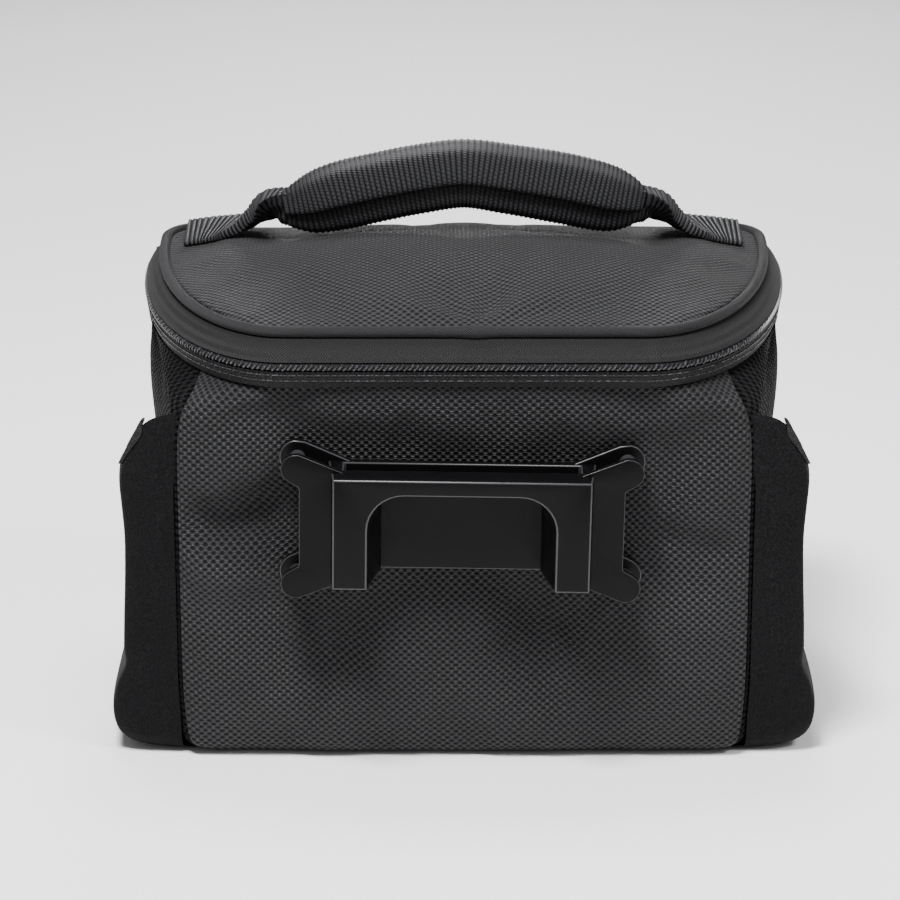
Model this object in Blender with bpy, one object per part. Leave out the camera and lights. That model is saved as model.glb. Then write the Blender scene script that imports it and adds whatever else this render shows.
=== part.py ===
"""Bicycle handlebar bag, seen from its handlebar side along +Y.

The bag stands on its base at Z = 0. The handlebar panel and its moulded plate face -Y, and +X is to the right
when the plate is looked at. All lengths are in metres.
"""
import math
from collections import namedtuple

import bmesh
import bpy
from mathutils import Matrix, Vector

MM = 0.001

# Clearances
GAP = 0.35 * MM                     # between pieces that touch on the real bag
SEAM = 0.4 * MM                     # between two sewn panels along their seam

# Main compartment
PANEL_WIDTH = 201 * MM              # handlebar panel, seam to seam
POCKET_HEIGHT = 127 * MM            # mouth of a side pocket at the handlebar panel's seam
POCKET_TO_RIM = 11.5 * MM           # the zip's rim stands over that mouth by this
BODY_HEIGHT = POCKET_HEIGHT + POCKET_TO_RIM
BODY_DEPTH = 133 * MM               # handlebar panel to the far panel, at mid height
WALL = 2.6 * MM                     # cloth over thin foam
BASE_THICKNESS = 3 * MM
FRONT_BULGE = 3 * MM                # the far panel swells by this
BODY_FAR_RADIUS = 16 * MM           # upright far corners
RIM_TURN = 13.85 * MM               # over this height the walls turn out to the zip's route
PANEL_TURN = 12 * MM                # the handlebar panel's dents end this far round its corners
TABLE_UNIT = 1 * MM                 # the tables of rings and dents count in this
PLATE_STANDOFF = 22 * MM            # front face of the plate from the handlebar panel

# Lid and zip
LID_WIDTH = 218 * MM                # over the middle of the piping
LID_DOME = 11.5 * MM                # crest of the lid over its piping
LID_THICKNESS = 2 * MM
LID_CORNER_ACROSS = 49 * MM         # reach of the lid's near corners across the bag
LID_CORNER_ALONG = 110 * MM         # and along it
LID_FAR_RADIUS = 14 * MM            # the lid's far corners
LID_SETBACK = 2 * MM                # piping behind the handlebar panel's face
PIPING_RADIUS = 1.9 * MM
BAND_HEIGHT = 6.6 * MM              # twill tape between piping and coil
COIL_RADIUS = 1.3 * MM
TAPE_HEIGHT = 5.4 * MM              # tape below the coil
TAPE_THICKNESS = 1.0 * MM
ZIP_FLARE = 6 * MM                  # the coil runs this far outside the piping
HINGE_THICKNESS = 1.5 * MM
SLIDER_LENGTH = 9 * MM

# Side pockets
POCKET_FALL = 45 * MM               # the mouth is this much lower at the far seam
POCKET_SWELL = 25.5 * MM            # how far the widest part stands out from the panel's seam
POCKET_WALL = 2 * MM
POCKET_FLOOR = 2 * MM
BINDING_HEIGHT = 5 * MM
BINDING_THICKNESS = 1.2 * MM

# Handle
WEB_WIDTH = 30 * MM
WEB_THICKNESS = 1.8 * MM
GRIP_HEIGHT = 24 * MM
GRIP_THICKNESS = 11 * MM
GRIP_SPAN = 128 * MM                # between the two ends of the folded grip
HANDLE_RISE = 32 * MM               # crest of the grip over the crest of the lid

# Moulded plate
PLATE_FACE_WIDTH = 87 * MM
PLATE_FACE_HEIGHT = 39.5 * MM
PLATE_CENTRE_HEIGHT = 91.6 * MM
PLATE_CENTRE_ACROSS = -1 * MM
PLATE_ROLL = math.radians(0.9)      # the plate sits a little askew, right end low
PLATE_DRAFT = 2.2 * MM              # the box widens by this on each side towards the panel
REAR_WALL = 2.6 * MM
FLANGE_BACKSET = 7 * MM             # front of the flange behind the front face
FLANGE_THICKNESS = 2.4 * MM
LOBE_SPACING_ACROSS = 112 * MM
LOBE_SPACING_UP = 41.5 * MM
LOBE_RADIUS = 5.2 * MM
REAR_DISC_RADIUS = 6.2 * MM
PIN_RADIUS = 2.8 * MM
ARCH_WIDTH = 63.8 * MM              # at the front face
ARCH_NARROWING = 5 * MM             # each jamb closes in by this towards the panel
ARCH_HEIGHT = 34 * MM
ARCH_RADIUS = 12.5 * MM
SLOT_LENGTH = 80 * MM
SLOT_WIDTH = 7.6 * MM
SLOT_DEPTH = 5.2 * MM

# Detail of the meshes
NEAR_STEPS = 22                     # columns across the flat of the handlebar panel
CORNER_STEPS = 8
SIDE_STEPS = 7
FAR_CORNER_STEPS = 4
FAR_STEPS = 8
ROUND_SIDES = 8

# Places that follow from the sizes
NEAR_Y = -(BODY_DEPTH + FRONT_BULGE - PLATE_STANDOFF) / 2
FAR_Y = NEAR_Y + BODY_DEPTH

# Horizontal sections of the body, from the base to the rim. Heights are shares of BODY_HEIGHT. The other columns
# are lengths in TABLE_UNIT to add to, or the size of, the box-like section: its half width at the panel's seam, how far the
# near corner reaches across and along, the swell of the sides, and how far the handlebar panel stands out.
Level = namedtuple("Level", "height widen corner_across corner_along swell proud")


def below_rim(share):
    """Height of a ring that stands under the rim by a share of RIM_TURN."""
    return 1 - share * RIM_TURN / BODY_HEIGHT


LEVELS = [
    Level(0.000, -5.0, 11.0, 11.0, 2.0, -5.0),
    Level(0.020, -2.2, 8.0, 8.0, 3.0, -2.0),
    Level(0.050, -0.6, 6.0, 6.0, 3.5, -0.4),
    Level(0.200, 0.2, 5.0, 5.0, 4.0, 0.6),
    Level(0.550, 0.0, 5.0, 5.0, 5.0, 0.0),
    Level(0.800, 0.2, 5.5, 5.5, 9.0, 0.2),
    Level(below_rim(1.0), 0.8, 8.0, 9.0, 10.2, 0.8),
    Level(below_rim(0.5), 3.0, 22.0, 30.0, 8.6, 1.6),
    Level(below_rim(0.15), 10.0, 44.0, 84.0, 3.0, 2.4),
    Level(1.000, 15.0, 55.0, 110.0, 0.0, 2.8),
]

# Soft dents (minus) and swells (plus) of the handlebar panel. Places and reaches are shares of the panel's width
# from its middle and of the body's height; the last column is the push outward in TABLE_UNIT.
Dent = namedtuple("Dent", "across height reach_across reach_up outward")
DENTS = [
    Dent(-0.31, 0.66, 0.045, 0.22, -4.0),
    Dent(0.305, 0.66, 0.045, 0.22, -4.0),
    Dent(-0.39, 0.80, 0.08, 0.07, 2.4),
    Dent(-0.40, 0.63, 0.10, 0.05, -2.6),
    Dent(-0.40, 0.50, 0.11, 0.06, 2.2),
    Dent(0.42, 0.82, 0.05, 0.06, -2.0),
    Dent(0.40, 0.56, 0.09, 0.05, -2.4),
    Dent(0.40, 0.43, 0.10, 0.06, 2.2),
    Dent(-0.22, 0.32, 0.07, 0.10, -1.8),
    Dent(0.12, 0.32, 0.07, 0.10, -1.8),
    Dent(0.00, 0.16, 0.34, 0.12, 2.0),
    Dent(0.00, 0.92, 0.30, 0.05, 1.2),
]

# How far a pocket stands out, as a share of POCKET_SWELL, by height as a share of POCKET_HEIGHT
Swell = namedtuple("Swell", "height out")
POCKET_PROFILE = [
    Swell(0.00, 0.62),
    Swell(0.03, 0.84),
    Swell(0.08, 0.96),
    Swell(0.14, 1.00),
    Swell(0.21, 0.96),
    Swell(0.27, 0.84),
    Swell(0.34, 0.79),
    Swell(0.50, 0.76),
    Swell(0.70, 0.73),
    Swell(0.82, 0.77),
    Swell(0.91, 0.86),
    Swell(0.96, 0.87),
    Swell(1.00, 0.80),
]

# Sections of a handle strap from its sewn tail to the grip: distance in from the lid's side and back from the
# grip's line as shares of WEB_WIDTH, height as a share of HANDLE_RISE, width as a share of WEB_WIDTH, thickness as a
# multiple of WEB_THICKNESS, and the turn about the strap's run in degrees.
Strap = namedtuple("Strap", "inward back rise width thick turn")
STRAP_SECTIONS = [
    Strap(0.12, 0.76, 0.000, 1.00, 1.0, 0),
    Strap(0.40, 0.76, 0.012, 1.00, 1.0, 0),
    Strap(0.70, 0.74, 0.045, 0.94, 1.1, 4),
    Strap(0.92, 0.64, 0.130, 0.64, 1.7, 16),
    Strap(1.08, 0.46, 0.290, 0.36, 2.6, 36),
    Strap(1.22, 0.25, 0.450, 0.30, 3.0, 60),
    Strap(1.40, 0.00, 0.600, 0.34, 2.8, 90),
]

# Sections of the grip along its span: place as a share of GRIP_SPAN from its left end, height of its middle under
# the grip's crest line and its own height as shares of GRIP_HEIGHT, and its thickness as a share of GRIP_THICKNESS.
Grip = namedtuple("Grip", "along drop height thick")
GRIP_SECTIONS = [
    Grip(0.000, 0.54, 0.52, 0.50),
    Grip(0.070, 0.47, 0.86, 0.85),
    Grip(0.156, 0.34, 1.00, 0.98),
    Grip(0.260, 0.21, 1.01, 1.00),
    Grip(0.370, 0.09, 1.01, 1.00),
    Grip(0.500, 0.00, 1.00, 1.00),
    Grip(0.630, 0.09, 1.02, 1.00),
    Grip(0.780, 0.23, 1.04, 1.00),
    Grip(0.900, 0.38, 0.98, 0.98),
    Grip(0.960, 0.44, 0.78, 0.80),
    Grip(1.000, 0.48, 0.50, 0.50),
]

Finish = namedtuple("Finish", "colour roughness metallic")
FINISHES = {
    "cloth": Finish((0.012, 0.012, 0.013), 0.72, 0.0),
    "binding": Finish((0.010, 0.010, 0.011), 0.80, 0.0),
    "neoprene": Finish((0.008, 0.008, 0.009), 0.90, 0.0),
    "webbing": Finish((0.014, 0.014, 0.015), 0.75, 0.0),
    "nylon_coil": Finish((0.012, 0.012, 0.013), 0.35, 0.0),
    "moulded": Finish((0.010, 0.010, 0.011), 0.45, 0.0),
}


def clear_scene():
    """Removes whatever the scene holds."""
    for old in list(bpy.data.objects):
        bpy.data.objects.remove(old, do_unlink=True)


def finish_material(name):
    """Makes one plain material for an object."""
    finish = FINISHES[name]
    material = bpy.data.materials.new(name)
    material.use_nodes = True
    shader = material.node_tree.nodes["Principled BSDF"]
    shader.inputs["Base Color"].default_value = (*finish.colour, 1)
    shader.inputs["Roughness"].default_value = finish.roughness
    shader.inputs["Metallic"].default_value = finish.metallic
    return material


def add_object(name, mesh_data, finish, smooth_below=50):
    """Turns a bmesh into a named object with faces outward."""
    bmesh.ops.remove_doubles(mesh_data, verts=mesh_data.verts, dist=0.01 * MM)
    bmesh.ops.triangulate(mesh_data, faces=mesh_data.faces)
    bmesh.ops.recalc_face_normals(mesh_data, faces=mesh_data.faces)
    mesh = bpy.data.meshes.new(name)
    mesh_data.to_mesh(mesh)
    mesh_data.free()
    mesh.shade_smooth()
    mesh.set_sharp_from_angle(angle=math.radians(smooth_below))
    made = bpy.data.objects.new(name, mesh)
    made.data.materials.append(finish_material(finish))
    bpy.context.scene.collection.objects.link(made)
    return made


def read_table(rows, share, column):
    """Reads a column of a table at a height, on a straight line between rows."""
    for low, high in zip(rows, rows[1:]):
        if share <= high.height:
            part = (share - low.height) / (high.height - low.height)
            return getattr(low, column) + part * (getattr(high, column) - getattr(low, column))
    return getattr(rows[-1], column)


def bridge_grid(mesh_data, rows, close_around):
    """Fills the faces between rows of points and returns the rows as vertices."""
    grid = [[mesh_data.verts.new(point) for point in row] for row in rows]
    for low, high in zip(grid, grid[1:]):
        count = len(low)
        for i in range(count if close_around else count - 1):
            j = (i + 1) % count
            mesh_data.faces.new((low[i], low[j], high[j], high[i]))
    return grid


def sheet_between(outer, inner):
    """Closes two open grids of the same shape into one solid sheet."""
    mesh_data = bmesh.new()
    out = bridge_grid(mesh_data, outer, False)
    into = bridge_grid(mesh_data, inner, False)
    border_out = out[0] + [row[-1] for row in out[1:]] + out[-1][-2::-1] + [row[0] for row in out[-2:0:-1]]
    border_in = into[0] + [row[-1] for row in into[1:]] + into[-1][-2::-1] + [row[0] for row in into[-2:0:-1]]
    count = len(border_out)
    for i in range(count):
        j = (i + 1) % count
        mesh_data.faces.new((border_out[i], border_in[i], border_in[j], border_out[j]))
    return mesh_data


def swept(sections, close_ends=True):
    """Joins closed sections of the same number of points into a solid."""
    mesh_data = bmesh.new()
    grid = bridge_grid(mesh_data, sections, True)
    if close_ends:
        mesh_data.faces.new(list(reversed(grid[0])))
        mesh_data.faces.new(grid[-1])
    return mesh_data


def outline(half_width, near, far, across, along, far_radius, swell=0.0, far_swell=0.0):
    """The right half of a D-shaped plan, from the middle of the near side to the middle of the far side."""
    points = []
    straight = half_width - across
    for i in range(NEAR_STEPS // 2):
        points.append((straight * i / (NEAR_STEPS // 2), near))
    for i in range(CORNER_STEPS + 1):
        angle = math.pi / 2 * i / CORNER_STEPS
        points.append((straight + across * math.sin(angle), near + along * (1 - math.cos(angle))))
    side_start = near + along
    side_end = far - far_radius
    for i in range(1, SIDE_STEPS):
        part = i / SIDE_STEPS
        out = swell * math.sin(math.pi * part)
        points.append((half_width + out, side_start + part * (side_end - side_start)))
    for i in range(FAR_CORNER_STEPS + 1):
        angle = math.pi / 2 * i / FAR_CORNER_STEPS
        x = half_width - far_radius * (1 - math.cos(angle))
        points.append((x, side_end + far_radius * math.sin(angle)))
    far_straight = half_width - far_radius
    for i in range(1, FAR_STEPS // 2 + 1):
        part = i / (FAR_STEPS // 2)
        points.append((far_straight * (1 - part), far + far_swell * math.sin(math.pi / 2 * part)))
    return points


def whole(points):
    """Adds the left half to a right half outline: a loop from the near middle, round by +X."""
    return points + [(-x, y) for x, y in points[-2:0:-1]]


def index_of_corner():
    return NEAR_STEPS // 2


SEAM_INDEX = index_of_corner() + 3                                        # panel's seam on the near corner
FAR_SEAM_INDEX = index_of_corner() + CORNER_STEPS + SIDE_STEPS + 2        # seam on the far corner
HALF_COUNT = index_of_corner() + CORNER_STEPS + SIDE_STEPS + FAR_CORNER_STEPS + FAR_STEPS // 2


def inward_normals(loop):
    """Unit vectors in plan that point into a loop which runs with +X on its right half outward."""
    normals = []
    count = len(loop)
    for i in range(count):
        before = Vector(loop[i - 1])
        after = Vector(loop[(i + 1) % count])
        run = (after - before).normalized()
        normals.append(Vector((-run.y, run.x)))
    return normals


def soft(value):
    """A bump that falls from 1 at 0 to 0 at 2, with no corner."""
    value = min(abs(value) / 2, 1)
    return (1 - value * value) ** 2


def dent_at(x, height):
    """How far the handlebar panel is pushed out at a place, in metres."""
    total = 0
    for dent in DENTS:
        across = (x / PANEL_WIDTH - dent.across) / dent.reach_across
        up = (height - dent.height) / dent.reach_up
        total += dent.outward * soft(across) * soft(up)
    return total * TABLE_UNIT


def body_loop(share, inset):
    """One horizontal ring of the body's wall, moved into the bag by an inset."""
    half_width = PANEL_WIDTH / 2 + read_table(LEVELS, share, "widen") * TABLE_UNIT
    across = read_table(LEVELS, share, "corner_across") * TABLE_UNIT
    along = read_table(LEVELS, share, "corner_along") * TABLE_UNIT
    swell = read_table(LEVELS, share, "swell") * TABLE_UNIT
    near = NEAR_Y - read_table(LEVELS, share, "proud") * TABLE_UNIT
    far_swell = FRONT_BULGE * math.sin(math.pi * min(share * 0.9 + 0.05, 1))
    flat = outline(half_width, near, FAR_Y, across, along, BODY_FAR_RADIUS, swell, far_swell)
    loop = whole(flat)
    height = share * BODY_HEIGHT
    points = []
    for (x, y), normal in zip(loop, inward_normals(loop)):
        on_panel = y < NEAR_Y + PANEL_TURN and abs(x) < PANEL_WIDTH / 2
        push = dent_at(x, share) * (1 - seam_share(x)) if on_panel else 0
        place = Vector((x, y - push)) + normal * inset
        points.append(Vector((place.x, place.y, height)))
    return points


def seam_share(x):
    """From 0 on the handlebar panel to 1 at its side seams, where the dents fade out."""
    return min(max((abs(x) / (PANEL_WIDTH / 2) - 0.88) / 0.12, 0), 1)


def wall_shares():
    """Heights of the body's rings, closer together near the base and the rim."""
    shares = [0.0, 0.02, 0.05]
    steps = 9
    shares += [0.05 + (below_rim(1.0) - 0.05) * i / steps for i in range(1, steps + 1)]
    shares += [below_rim(0.5), below_rim(0.15), 1.0]
    return shares


def pulled(point, towards, distance):
    """A point moved towards another by a distance."""
    run = towards - point
    return point + run.normalized() * distance


def make_wall(name, first, last, finish="cloth"):
    """A stretch of the body's wall between two columns, with the seam's clearance at both ends."""
    outer = []
    inner = []
    for share in wall_shares():
        for rows, inset in ((outer, 0.0), (inner, WALL)):
            ring = body_loop(share, inset)
            count = len(ring)
            row = [ring[i % count].copy() for i in range(first, last + 1)]
            row[0] = pulled(row[0], row[1], SEAM / 2)
            row[-1] = pulled(row[-1], row[-2], SEAM / 2)
            rows.append(row)
    return add_object(name, sheet_between(outer, inner), finish)


def make_body():
    """The four walls and the base."""
    make_wall("back_panel", -SEAM_INDEX, SEAM_INDEX)
    make_wall("side_panel_right", SEAM_INDEX, FAR_SEAM_INDEX)
    make_wall("front_panel", FAR_SEAM_INDEX, 2 * HALF_COUNT - FAR_SEAM_INDEX)
    make_wall("side_panel_left", 2 * HALF_COUNT - FAR_SEAM_INDEX, 2 * HALF_COUNT - SEAM_INDEX)
    low = body_loop(0.0, WALL + GAP)
    high = body_loop(BASE_THICKNESS / BODY_HEIGHT, WALL + GAP)
    sections = [[Vector((p.x, p.y, 0)) for p in low], [Vector((p.x, p.y, BASE_THICKNESS)) for p in high]]
    add_object("base_panel", swept(sections), "cloth")


def pocket_out(height_share):
    return read_table(POCKET_PROFILE, height_share, "out") * POCKET_SWELL


def mouth_height(part):
    """Height of the pocket's mouth at a place along the side."""
    return POCKET_HEIGHT - part * POCKET_FALL


def pocket_columns():
    """Places along the side where the pocket's sheet is shaped, from the near seam to the far seam."""
    steps = 16
    return [i / steps for i in range(steps + 1)]


def side_surface(part, height):
    """A point of the side panel's outer face, and the level direction out of it, on the right side."""
    ring = body_loop(min(height / BODY_HEIGHT, 1), -GAP)
    start = index_of_corner() + 4
    end = FAR_SEAM_INDEX - 1
    place = start + part * (end - start)
    low = min(int(place), end - 1)
    return ring[low].lerp(ring[low + 1], place - low)


def pocket_bow(part):
    """How much of the pocket's swell there is along the side."""
    return (1 - abs(2 * part - 1) ** 2.4) ** (1 / 2.4)


def pocket_point(part, height_share, inset):
    """A point of the pocket's sheet on the right side, at a depth into the sheet."""
    height = height_share * mouth_height(part)
    base = side_surface(part, height)
    seam = PANEL_WIDTH / 2 + GAP
    lean = pocket_bow(part)
    x = seam + pocket_out(height_share) * lean
    x = max(x, base.x + POCKET_WALL)
    return Vector((max(x - inset, base.x), base.y, height))


def make_pocket(name, side):
    """A stretch pocket: a sheet that stands off the side panel, with a floor, open at its top."""
    shares = [row.height for row in POCKET_PROFILE]
    sections = []
    for part in pocket_columns():
        floor_share = POCKET_FLOOR / mouth_height(part)
        inner_shares = [floor_share] + shares[2:]
        section = [side_surface(part, 0.0)]
        section += [pocket_point(part, share, 0.0) for share in shares]
        section += [pocket_point(part, share, POCKET_WALL) for share in reversed(inner_shares)]
        section.append(side_surface(part, POCKET_FLOOR))
        sections.append([Vector((side * p.x, p.y, p.z)) for p in section])
    add_object(name, swept(sections), "neoprene")


def make_binding(name, side):
    """The ribbed binding along the pocket's mouth, folded over its edge."""
    sections = []
    for part in pocket_columns()[1:-1]:
        low = 1 - BINDING_HEIGHT / mouth_height(part)
        outer_low = pocket_point(part, low, -GAP - BINDING_THICKNESS)
        outer_high = pocket_point(part, 1.0, -GAP - BINDING_THICKNESS)
        turn = max(POCKET_PROFILE[-2].height, low + 0.3 * (1 - low))
        outer_turn = pocket_point(part, turn, -GAP - BINDING_THICKNESS)
        skin_low = pocket_point(part, low, -GAP)
        skin_turn = pocket_point(part, turn, -GAP)
        skin_high = pocket_point(part, 1.0, -GAP)
        inner_high = pocket_point(part, 1.0, POCKET_WALL * 0.9)
        lift = Vector((0, 0, GAP))
        top = Vector((0, 0, GAP + BINDING_THICKNESS))
        section = [skin_low, outer_low, outer_turn, outer_high + lift, outer_high.lerp(inner_high, 0.3) + top,
                   inner_high + top, inner_high + lift, skin_high + lift, skin_turn]
        sections.append([Vector((side * p.x, p.y, p.z)) for p in section])
    add_object(name, swept(sections), "binding")


# Plans of the lid's edge, from the piping out to the rim
LID_NEAR = NEAR_Y + LID_SETBACK
LID_FAR = FAR_Y + FRONT_BULGE - ZIP_FLARE - COIL_RADIUS - 0.3 * MM


def lid_outline(flare):
    """The lid's plan, moved out from the line of the piping by a flare."""
    across = LID_CORNER_ACROSS + flare
    along = LID_CORNER_ALONG + flare
    near = LID_NEAR - flare
    return outline(LID_WIDTH / 2 + flare, near, LID_FAR + flare, across, along, LID_FAR_RADIUS + flare)


def zip_route(flare):
    """The open route of the zip, from its left end round the near side to its right end."""
    last = index_of_corner() + CORNER_STEPS + SIDE_STEPS + FAR_CORNER_STEPS
    right = lid_outline(flare)[:last + 1]
    return [(-x, y) for x, y in right[:0:-1]] + right


def route_normals(route):
    normals = []
    for i in range(len(route)):
        before = Vector(route[max(i - 1, 0)])
        after = Vector(route[min(i + 1, len(route) - 1)])
        run = (after - before).normalized()
        normals.append(Vector((run.y, -run.x)))
    return normals


def strip_sections(profile):
    """Sections of a strip along the zip's route; the profile gives flare and height pairs."""
    base = zip_route(0.0)
    normals = route_normals(base)
    sections = []
    for (x, y), out in zip(base, normals):
        sections.append([Vector((x + out.x * flare, y + out.y * flare, height)) for flare, height in profile])
    return sections


def tube_profile(flare, height, radius):
    return [(flare + radius * math.cos(2 * math.pi * i / ROUND_SIDES),
             height + radius * math.sin(2 * math.pi * i / ROUND_SIDES)) for i in range(ROUND_SIDES)]


COIL_HEIGHT = BODY_HEIGHT + GAP + TAPE_HEIGHT + GAP + COIL_RADIUS
BAND_LOW = COIL_HEIGHT + COIL_RADIUS + GAP
BAND_HIGH = BAND_LOW + BAND_HEIGHT
LID_EDGE = BAND_HIGH + GAP + PIPING_RADIUS


def make_zip():
    """Piping, twill band, coil and lower tape."""
    add_object("lid_piping", swept(strip_sections(tube_profile(0.0, LID_EDGE, PIPING_RADIUS))), "binding")
    wall = TAPE_THICKNESS
    band = [(ZIP_FLARE + wall / 2, BAND_LOW), (0.8 * MM + wall / 2, BAND_HIGH),
            (0.8 * MM - wall / 2, BAND_HIGH), (ZIP_FLARE - wall / 2, BAND_LOW)]
    add_object("lid_band", swept(strip_sections(band)), "binding")
    add_object("zip_coil", swept(strip_sections(tube_profile(ZIP_FLARE, COIL_HEIGHT, COIL_RADIUS))), "nylon_coil")
    tape_low = BODY_HEIGHT + GAP
    tape_high = tape_low + TAPE_HEIGHT
    tape = [(ZIP_FLARE + wall / 2 - 0.8 * MM, tape_low), (ZIP_FLARE + wall / 2, tape_high),
            (ZIP_FLARE - wall / 2, tape_high), (ZIP_FLARE - wall / 2 - 0.8 * MM, tape_low)]
    add_object("zip_lower_tape", swept(strip_sections(tape)), "binding")


def lid_height(x, y):
    """The lid's outer face: a soft dome whose crest runs from side to side."""
    half = LID_WIDTH / 2
    crest = LID_NEAR + 0.48 * (LID_FAR - LID_NEAR)
    along = (y - crest) / ((LID_FAR if y > crest else LID_NEAR) - crest)
    across = min(abs(x) / half, 1)
    rise = max(1 - along ** 2, 0) ** 0.8 * (1 - across ** 1.8)
    return LID_EDGE + LID_DOME * rise


def make_lid():
    """The domed lid panel, a shell that is open underneath."""
    loop = whole(lid_outline(-(PIPING_RADIUS + GAP)))
    centre = Vector((0, LID_NEAR + 0.48 * (LID_FAR - LID_NEAR)))
    shares = [1.0, 0.90, 0.74, 0.54, 0.32, 0.12]
    outer = []
    inner = []
    for share in shares:
        ring = [centre + (Vector(point) - centre) * share for point in loop]
        outer.append([Vector((p.x, p.y, lid_height(p.x, p.y))) for p in ring])
        inner.append([Vector((p.x, p.y, lid_height(p.x, p.y) - LID_THICKNESS)) for p in ring])
    mesh_data = bmesh.new()
    grid_out = bridge_grid(mesh_data, outer, True)
    grid_in = bridge_grid(mesh_data, inner, True)
    count = len(loop)
    for i in range(count):
        j = (i + 1) % count
        mesh_data.faces.new((grid_out[0][i], grid_out[0][j], grid_in[0][j], grid_in[0][i]))
    mesh_data.faces.new(grid_out[-1])
    mesh_data.faces.new(list(reversed(grid_in[-1])))
    add_object("lid_top", mesh_data, "cloth")


def make_hinge():
    """The plain strip of cloth at the far side that the lid opens on."""
    half = LID_WIDTH / 2 - LID_FAR_RADIUS - GAP
    low = BODY_HEIGHT + GAP
    high = LID_EDGE - LID_THICKNESS / 2
    low_y = LID_FAR + ZIP_FLARE
    high_y = LID_FAR + PIPING_RADIUS
    steps = 6
    sections = []
    for i in range(steps + 1):
        x = -half + 2 * half * i / steps
        sections.append([Vector((x, low_y, low)), Vector((x, high_y, high)),
                         Vector((x, high_y - HINGE_THICKNESS, high)), Vector((x, low_y - HINGE_THICKNESS, low))])
    add_object("lid_hinge", swept(sections), "cloth")


def make_slider():
    """The plain slider, parked at the zip's left end on the far corner."""
    route = zip_route(ZIP_FLARE)
    outer = COIL_RADIUS + GAP + 1.4 * MM
    place = Vector(route[FAR_CORNER_STEPS - 2])
    run = (Vector(route[FAR_CORNER_STEPS - 1]) - Vector(route[FAR_CORNER_STEPS - 3])).normalized()
    out = Vector((run.y, -run.x))
    sections = []
    for along in (-SLIDER_LENGTH / 2, SLIDER_LENGTH / 2):
        middle = place + run * along
        corners = []
        for away, up in ((COIL_RADIUS + GAP, -outer), (outer, -outer), (outer, outer), (COIL_RADIUS + GAP, outer)):
            spot = middle + out * away
            corners.append(Vector((spot.x, spot.y, COIL_HEIGHT + up)))
        sections.append(corners)
    add_object("zip_slider", swept(sections), "moulded")


GRIP_Y = NEAR_Y + 0.66 * BODY_DEPTH
LID_CREST = LID_EDGE + LID_DOME
GRIP_CREST = LID_CREST + HANDLE_RISE


def grip_place(row):
    """Middle of a section of the grip."""
    x = (row.along - 0.5) * GRIP_SPAN
    return Vector((x, GRIP_Y, GRIP_CREST - GRIP_HEIGHT * (0.5 + row.drop)))


def make_grip():
    """The folded webbing of the grip: a flattened tube whose near flap laps over its lower part."""
    shape = [(-0.50, 0.18), (-0.44, 0.40), (-0.18, 0.50), (0.18, 0.50), (0.44, 0.40), (0.50, 0.10),
             (0.46, -0.30), (0.22, -0.50), (-0.18, -0.50), (-0.34, -0.36), (-0.36, -0.22), (-0.50, -0.22)]
    places = [grip_place(row) for row in GRIP_SECTIONS]
    sections = []
    for i, row in enumerate(GRIP_SECTIONS):
        before = places[max(i - 1, 0)]
        after = places[min(i + 1, len(places) - 1)]
        run = (after - before).normalized()
        up = Vector((-run.z, 0, run.x))
        height = GRIP_HEIGHT * row.height
        thick = GRIP_THICKNESS * row.thick
        sections.append([places[i] + Vector((0, v * thick, 0)) + up * (w * height) for v, w in shape])
    add_object("handle_grip", swept(sections), "webbing")


def make_strap(name, side):
    """A strap: its flat tail on the lid, and the narrow twisted neck up to the grip."""
    rows = STRAP_SECTIONS
    lid_side = LID_WIDTH / 2 - PIPING_RADIUS - 2 * MM
    end = grip_place(GRIP_SECTIONS[0] if side < 0 else GRIP_SECTIONS[-1])
    inner = grip_place(GRIP_SECTIONS[1] if side < 0 else GRIP_SECTIONS[-2])
    end = Vector((-abs(end.x), end.y, end.z))
    inner = Vector((-abs(inner.x), inner.y, inner.z))
    places = []
    for row in rows:
        x = -lid_side + row.inward * WEB_WIDTH
        y = GRIP_Y + row.back * WEB_WIDTH
        floor = lid_height(x, y) + GAP + WEB_THICKNESS / 2 + 0.9 * MM
        places.append(Vector((x, y, floor + row.rise * HANDLE_RISE)))
    grip_run = (inner - end).normalized()
    places[-1] = end - grip_run * GAP
    sections = []
    for i, row in enumerate(rows):
        last = i == len(rows) - 1
        run = grip_run if last else (places[i + 1] - places[max(i - 1, 0)]).normalized()
        level = Vector((0, 1, 0))
        across = (level - run * level.dot(run)).normalized()
        across = Matrix.Rotation(math.radians(-row.turn), 3, run) @ across
        up = across.cross(run) * -1
        width = WEB_WIDTH * row.width / 2
        thick = WEB_THICKNESS * row.thick / 2
        edge = 0.35 * thick
        corners = [(-width, -thick + edge), (-width + edge, -thick), (width - edge, -thick), (width, -thick + edge),
                   (width, thick - edge), (width - edge, thick), (-width + edge, thick), (-width, thick - edge)]
        section = [places[i] + across * a + up * b for a, b in corners]
        sections.append([Vector((side * -p.x, p.y, p.z)) for p in section])
    add_object(name, swept(sections), "webbing")


# Boxes, rounded plates and pins of the moulded plate, in the plate's own frame: X across, Z up from its middle, and
# Y out of the panel, from 0 at the panel to PLATE_STANDOFF at the front face.
def prism(name, points, low, high, scale_high=(1, 1), shift_high=0.0):
    """A solid from an outline in X and Z, between two distances out of the panel."""
    near = [Vector((x, low, z)) for x, z in points]
    far = [Vector((x * scale_high[0], high, z * scale_high[1] + shift_high)) for x, z in points]
    mesh_data = swept([near, far])
    return plate_piece(name, mesh_data)


def plate_piece(name, mesh_data):
    bmesh.ops.recalc_face_normals(mesh_data, faces=mesh_data.faces)
    mesh = bpy.data.meshes.new(name)
    mesh_data.to_mesh(mesh)
    mesh_data.free()
    made = bpy.data.objects.new(name, mesh)
    bpy.context.scene.collection.objects.link(made)
    return made


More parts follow.
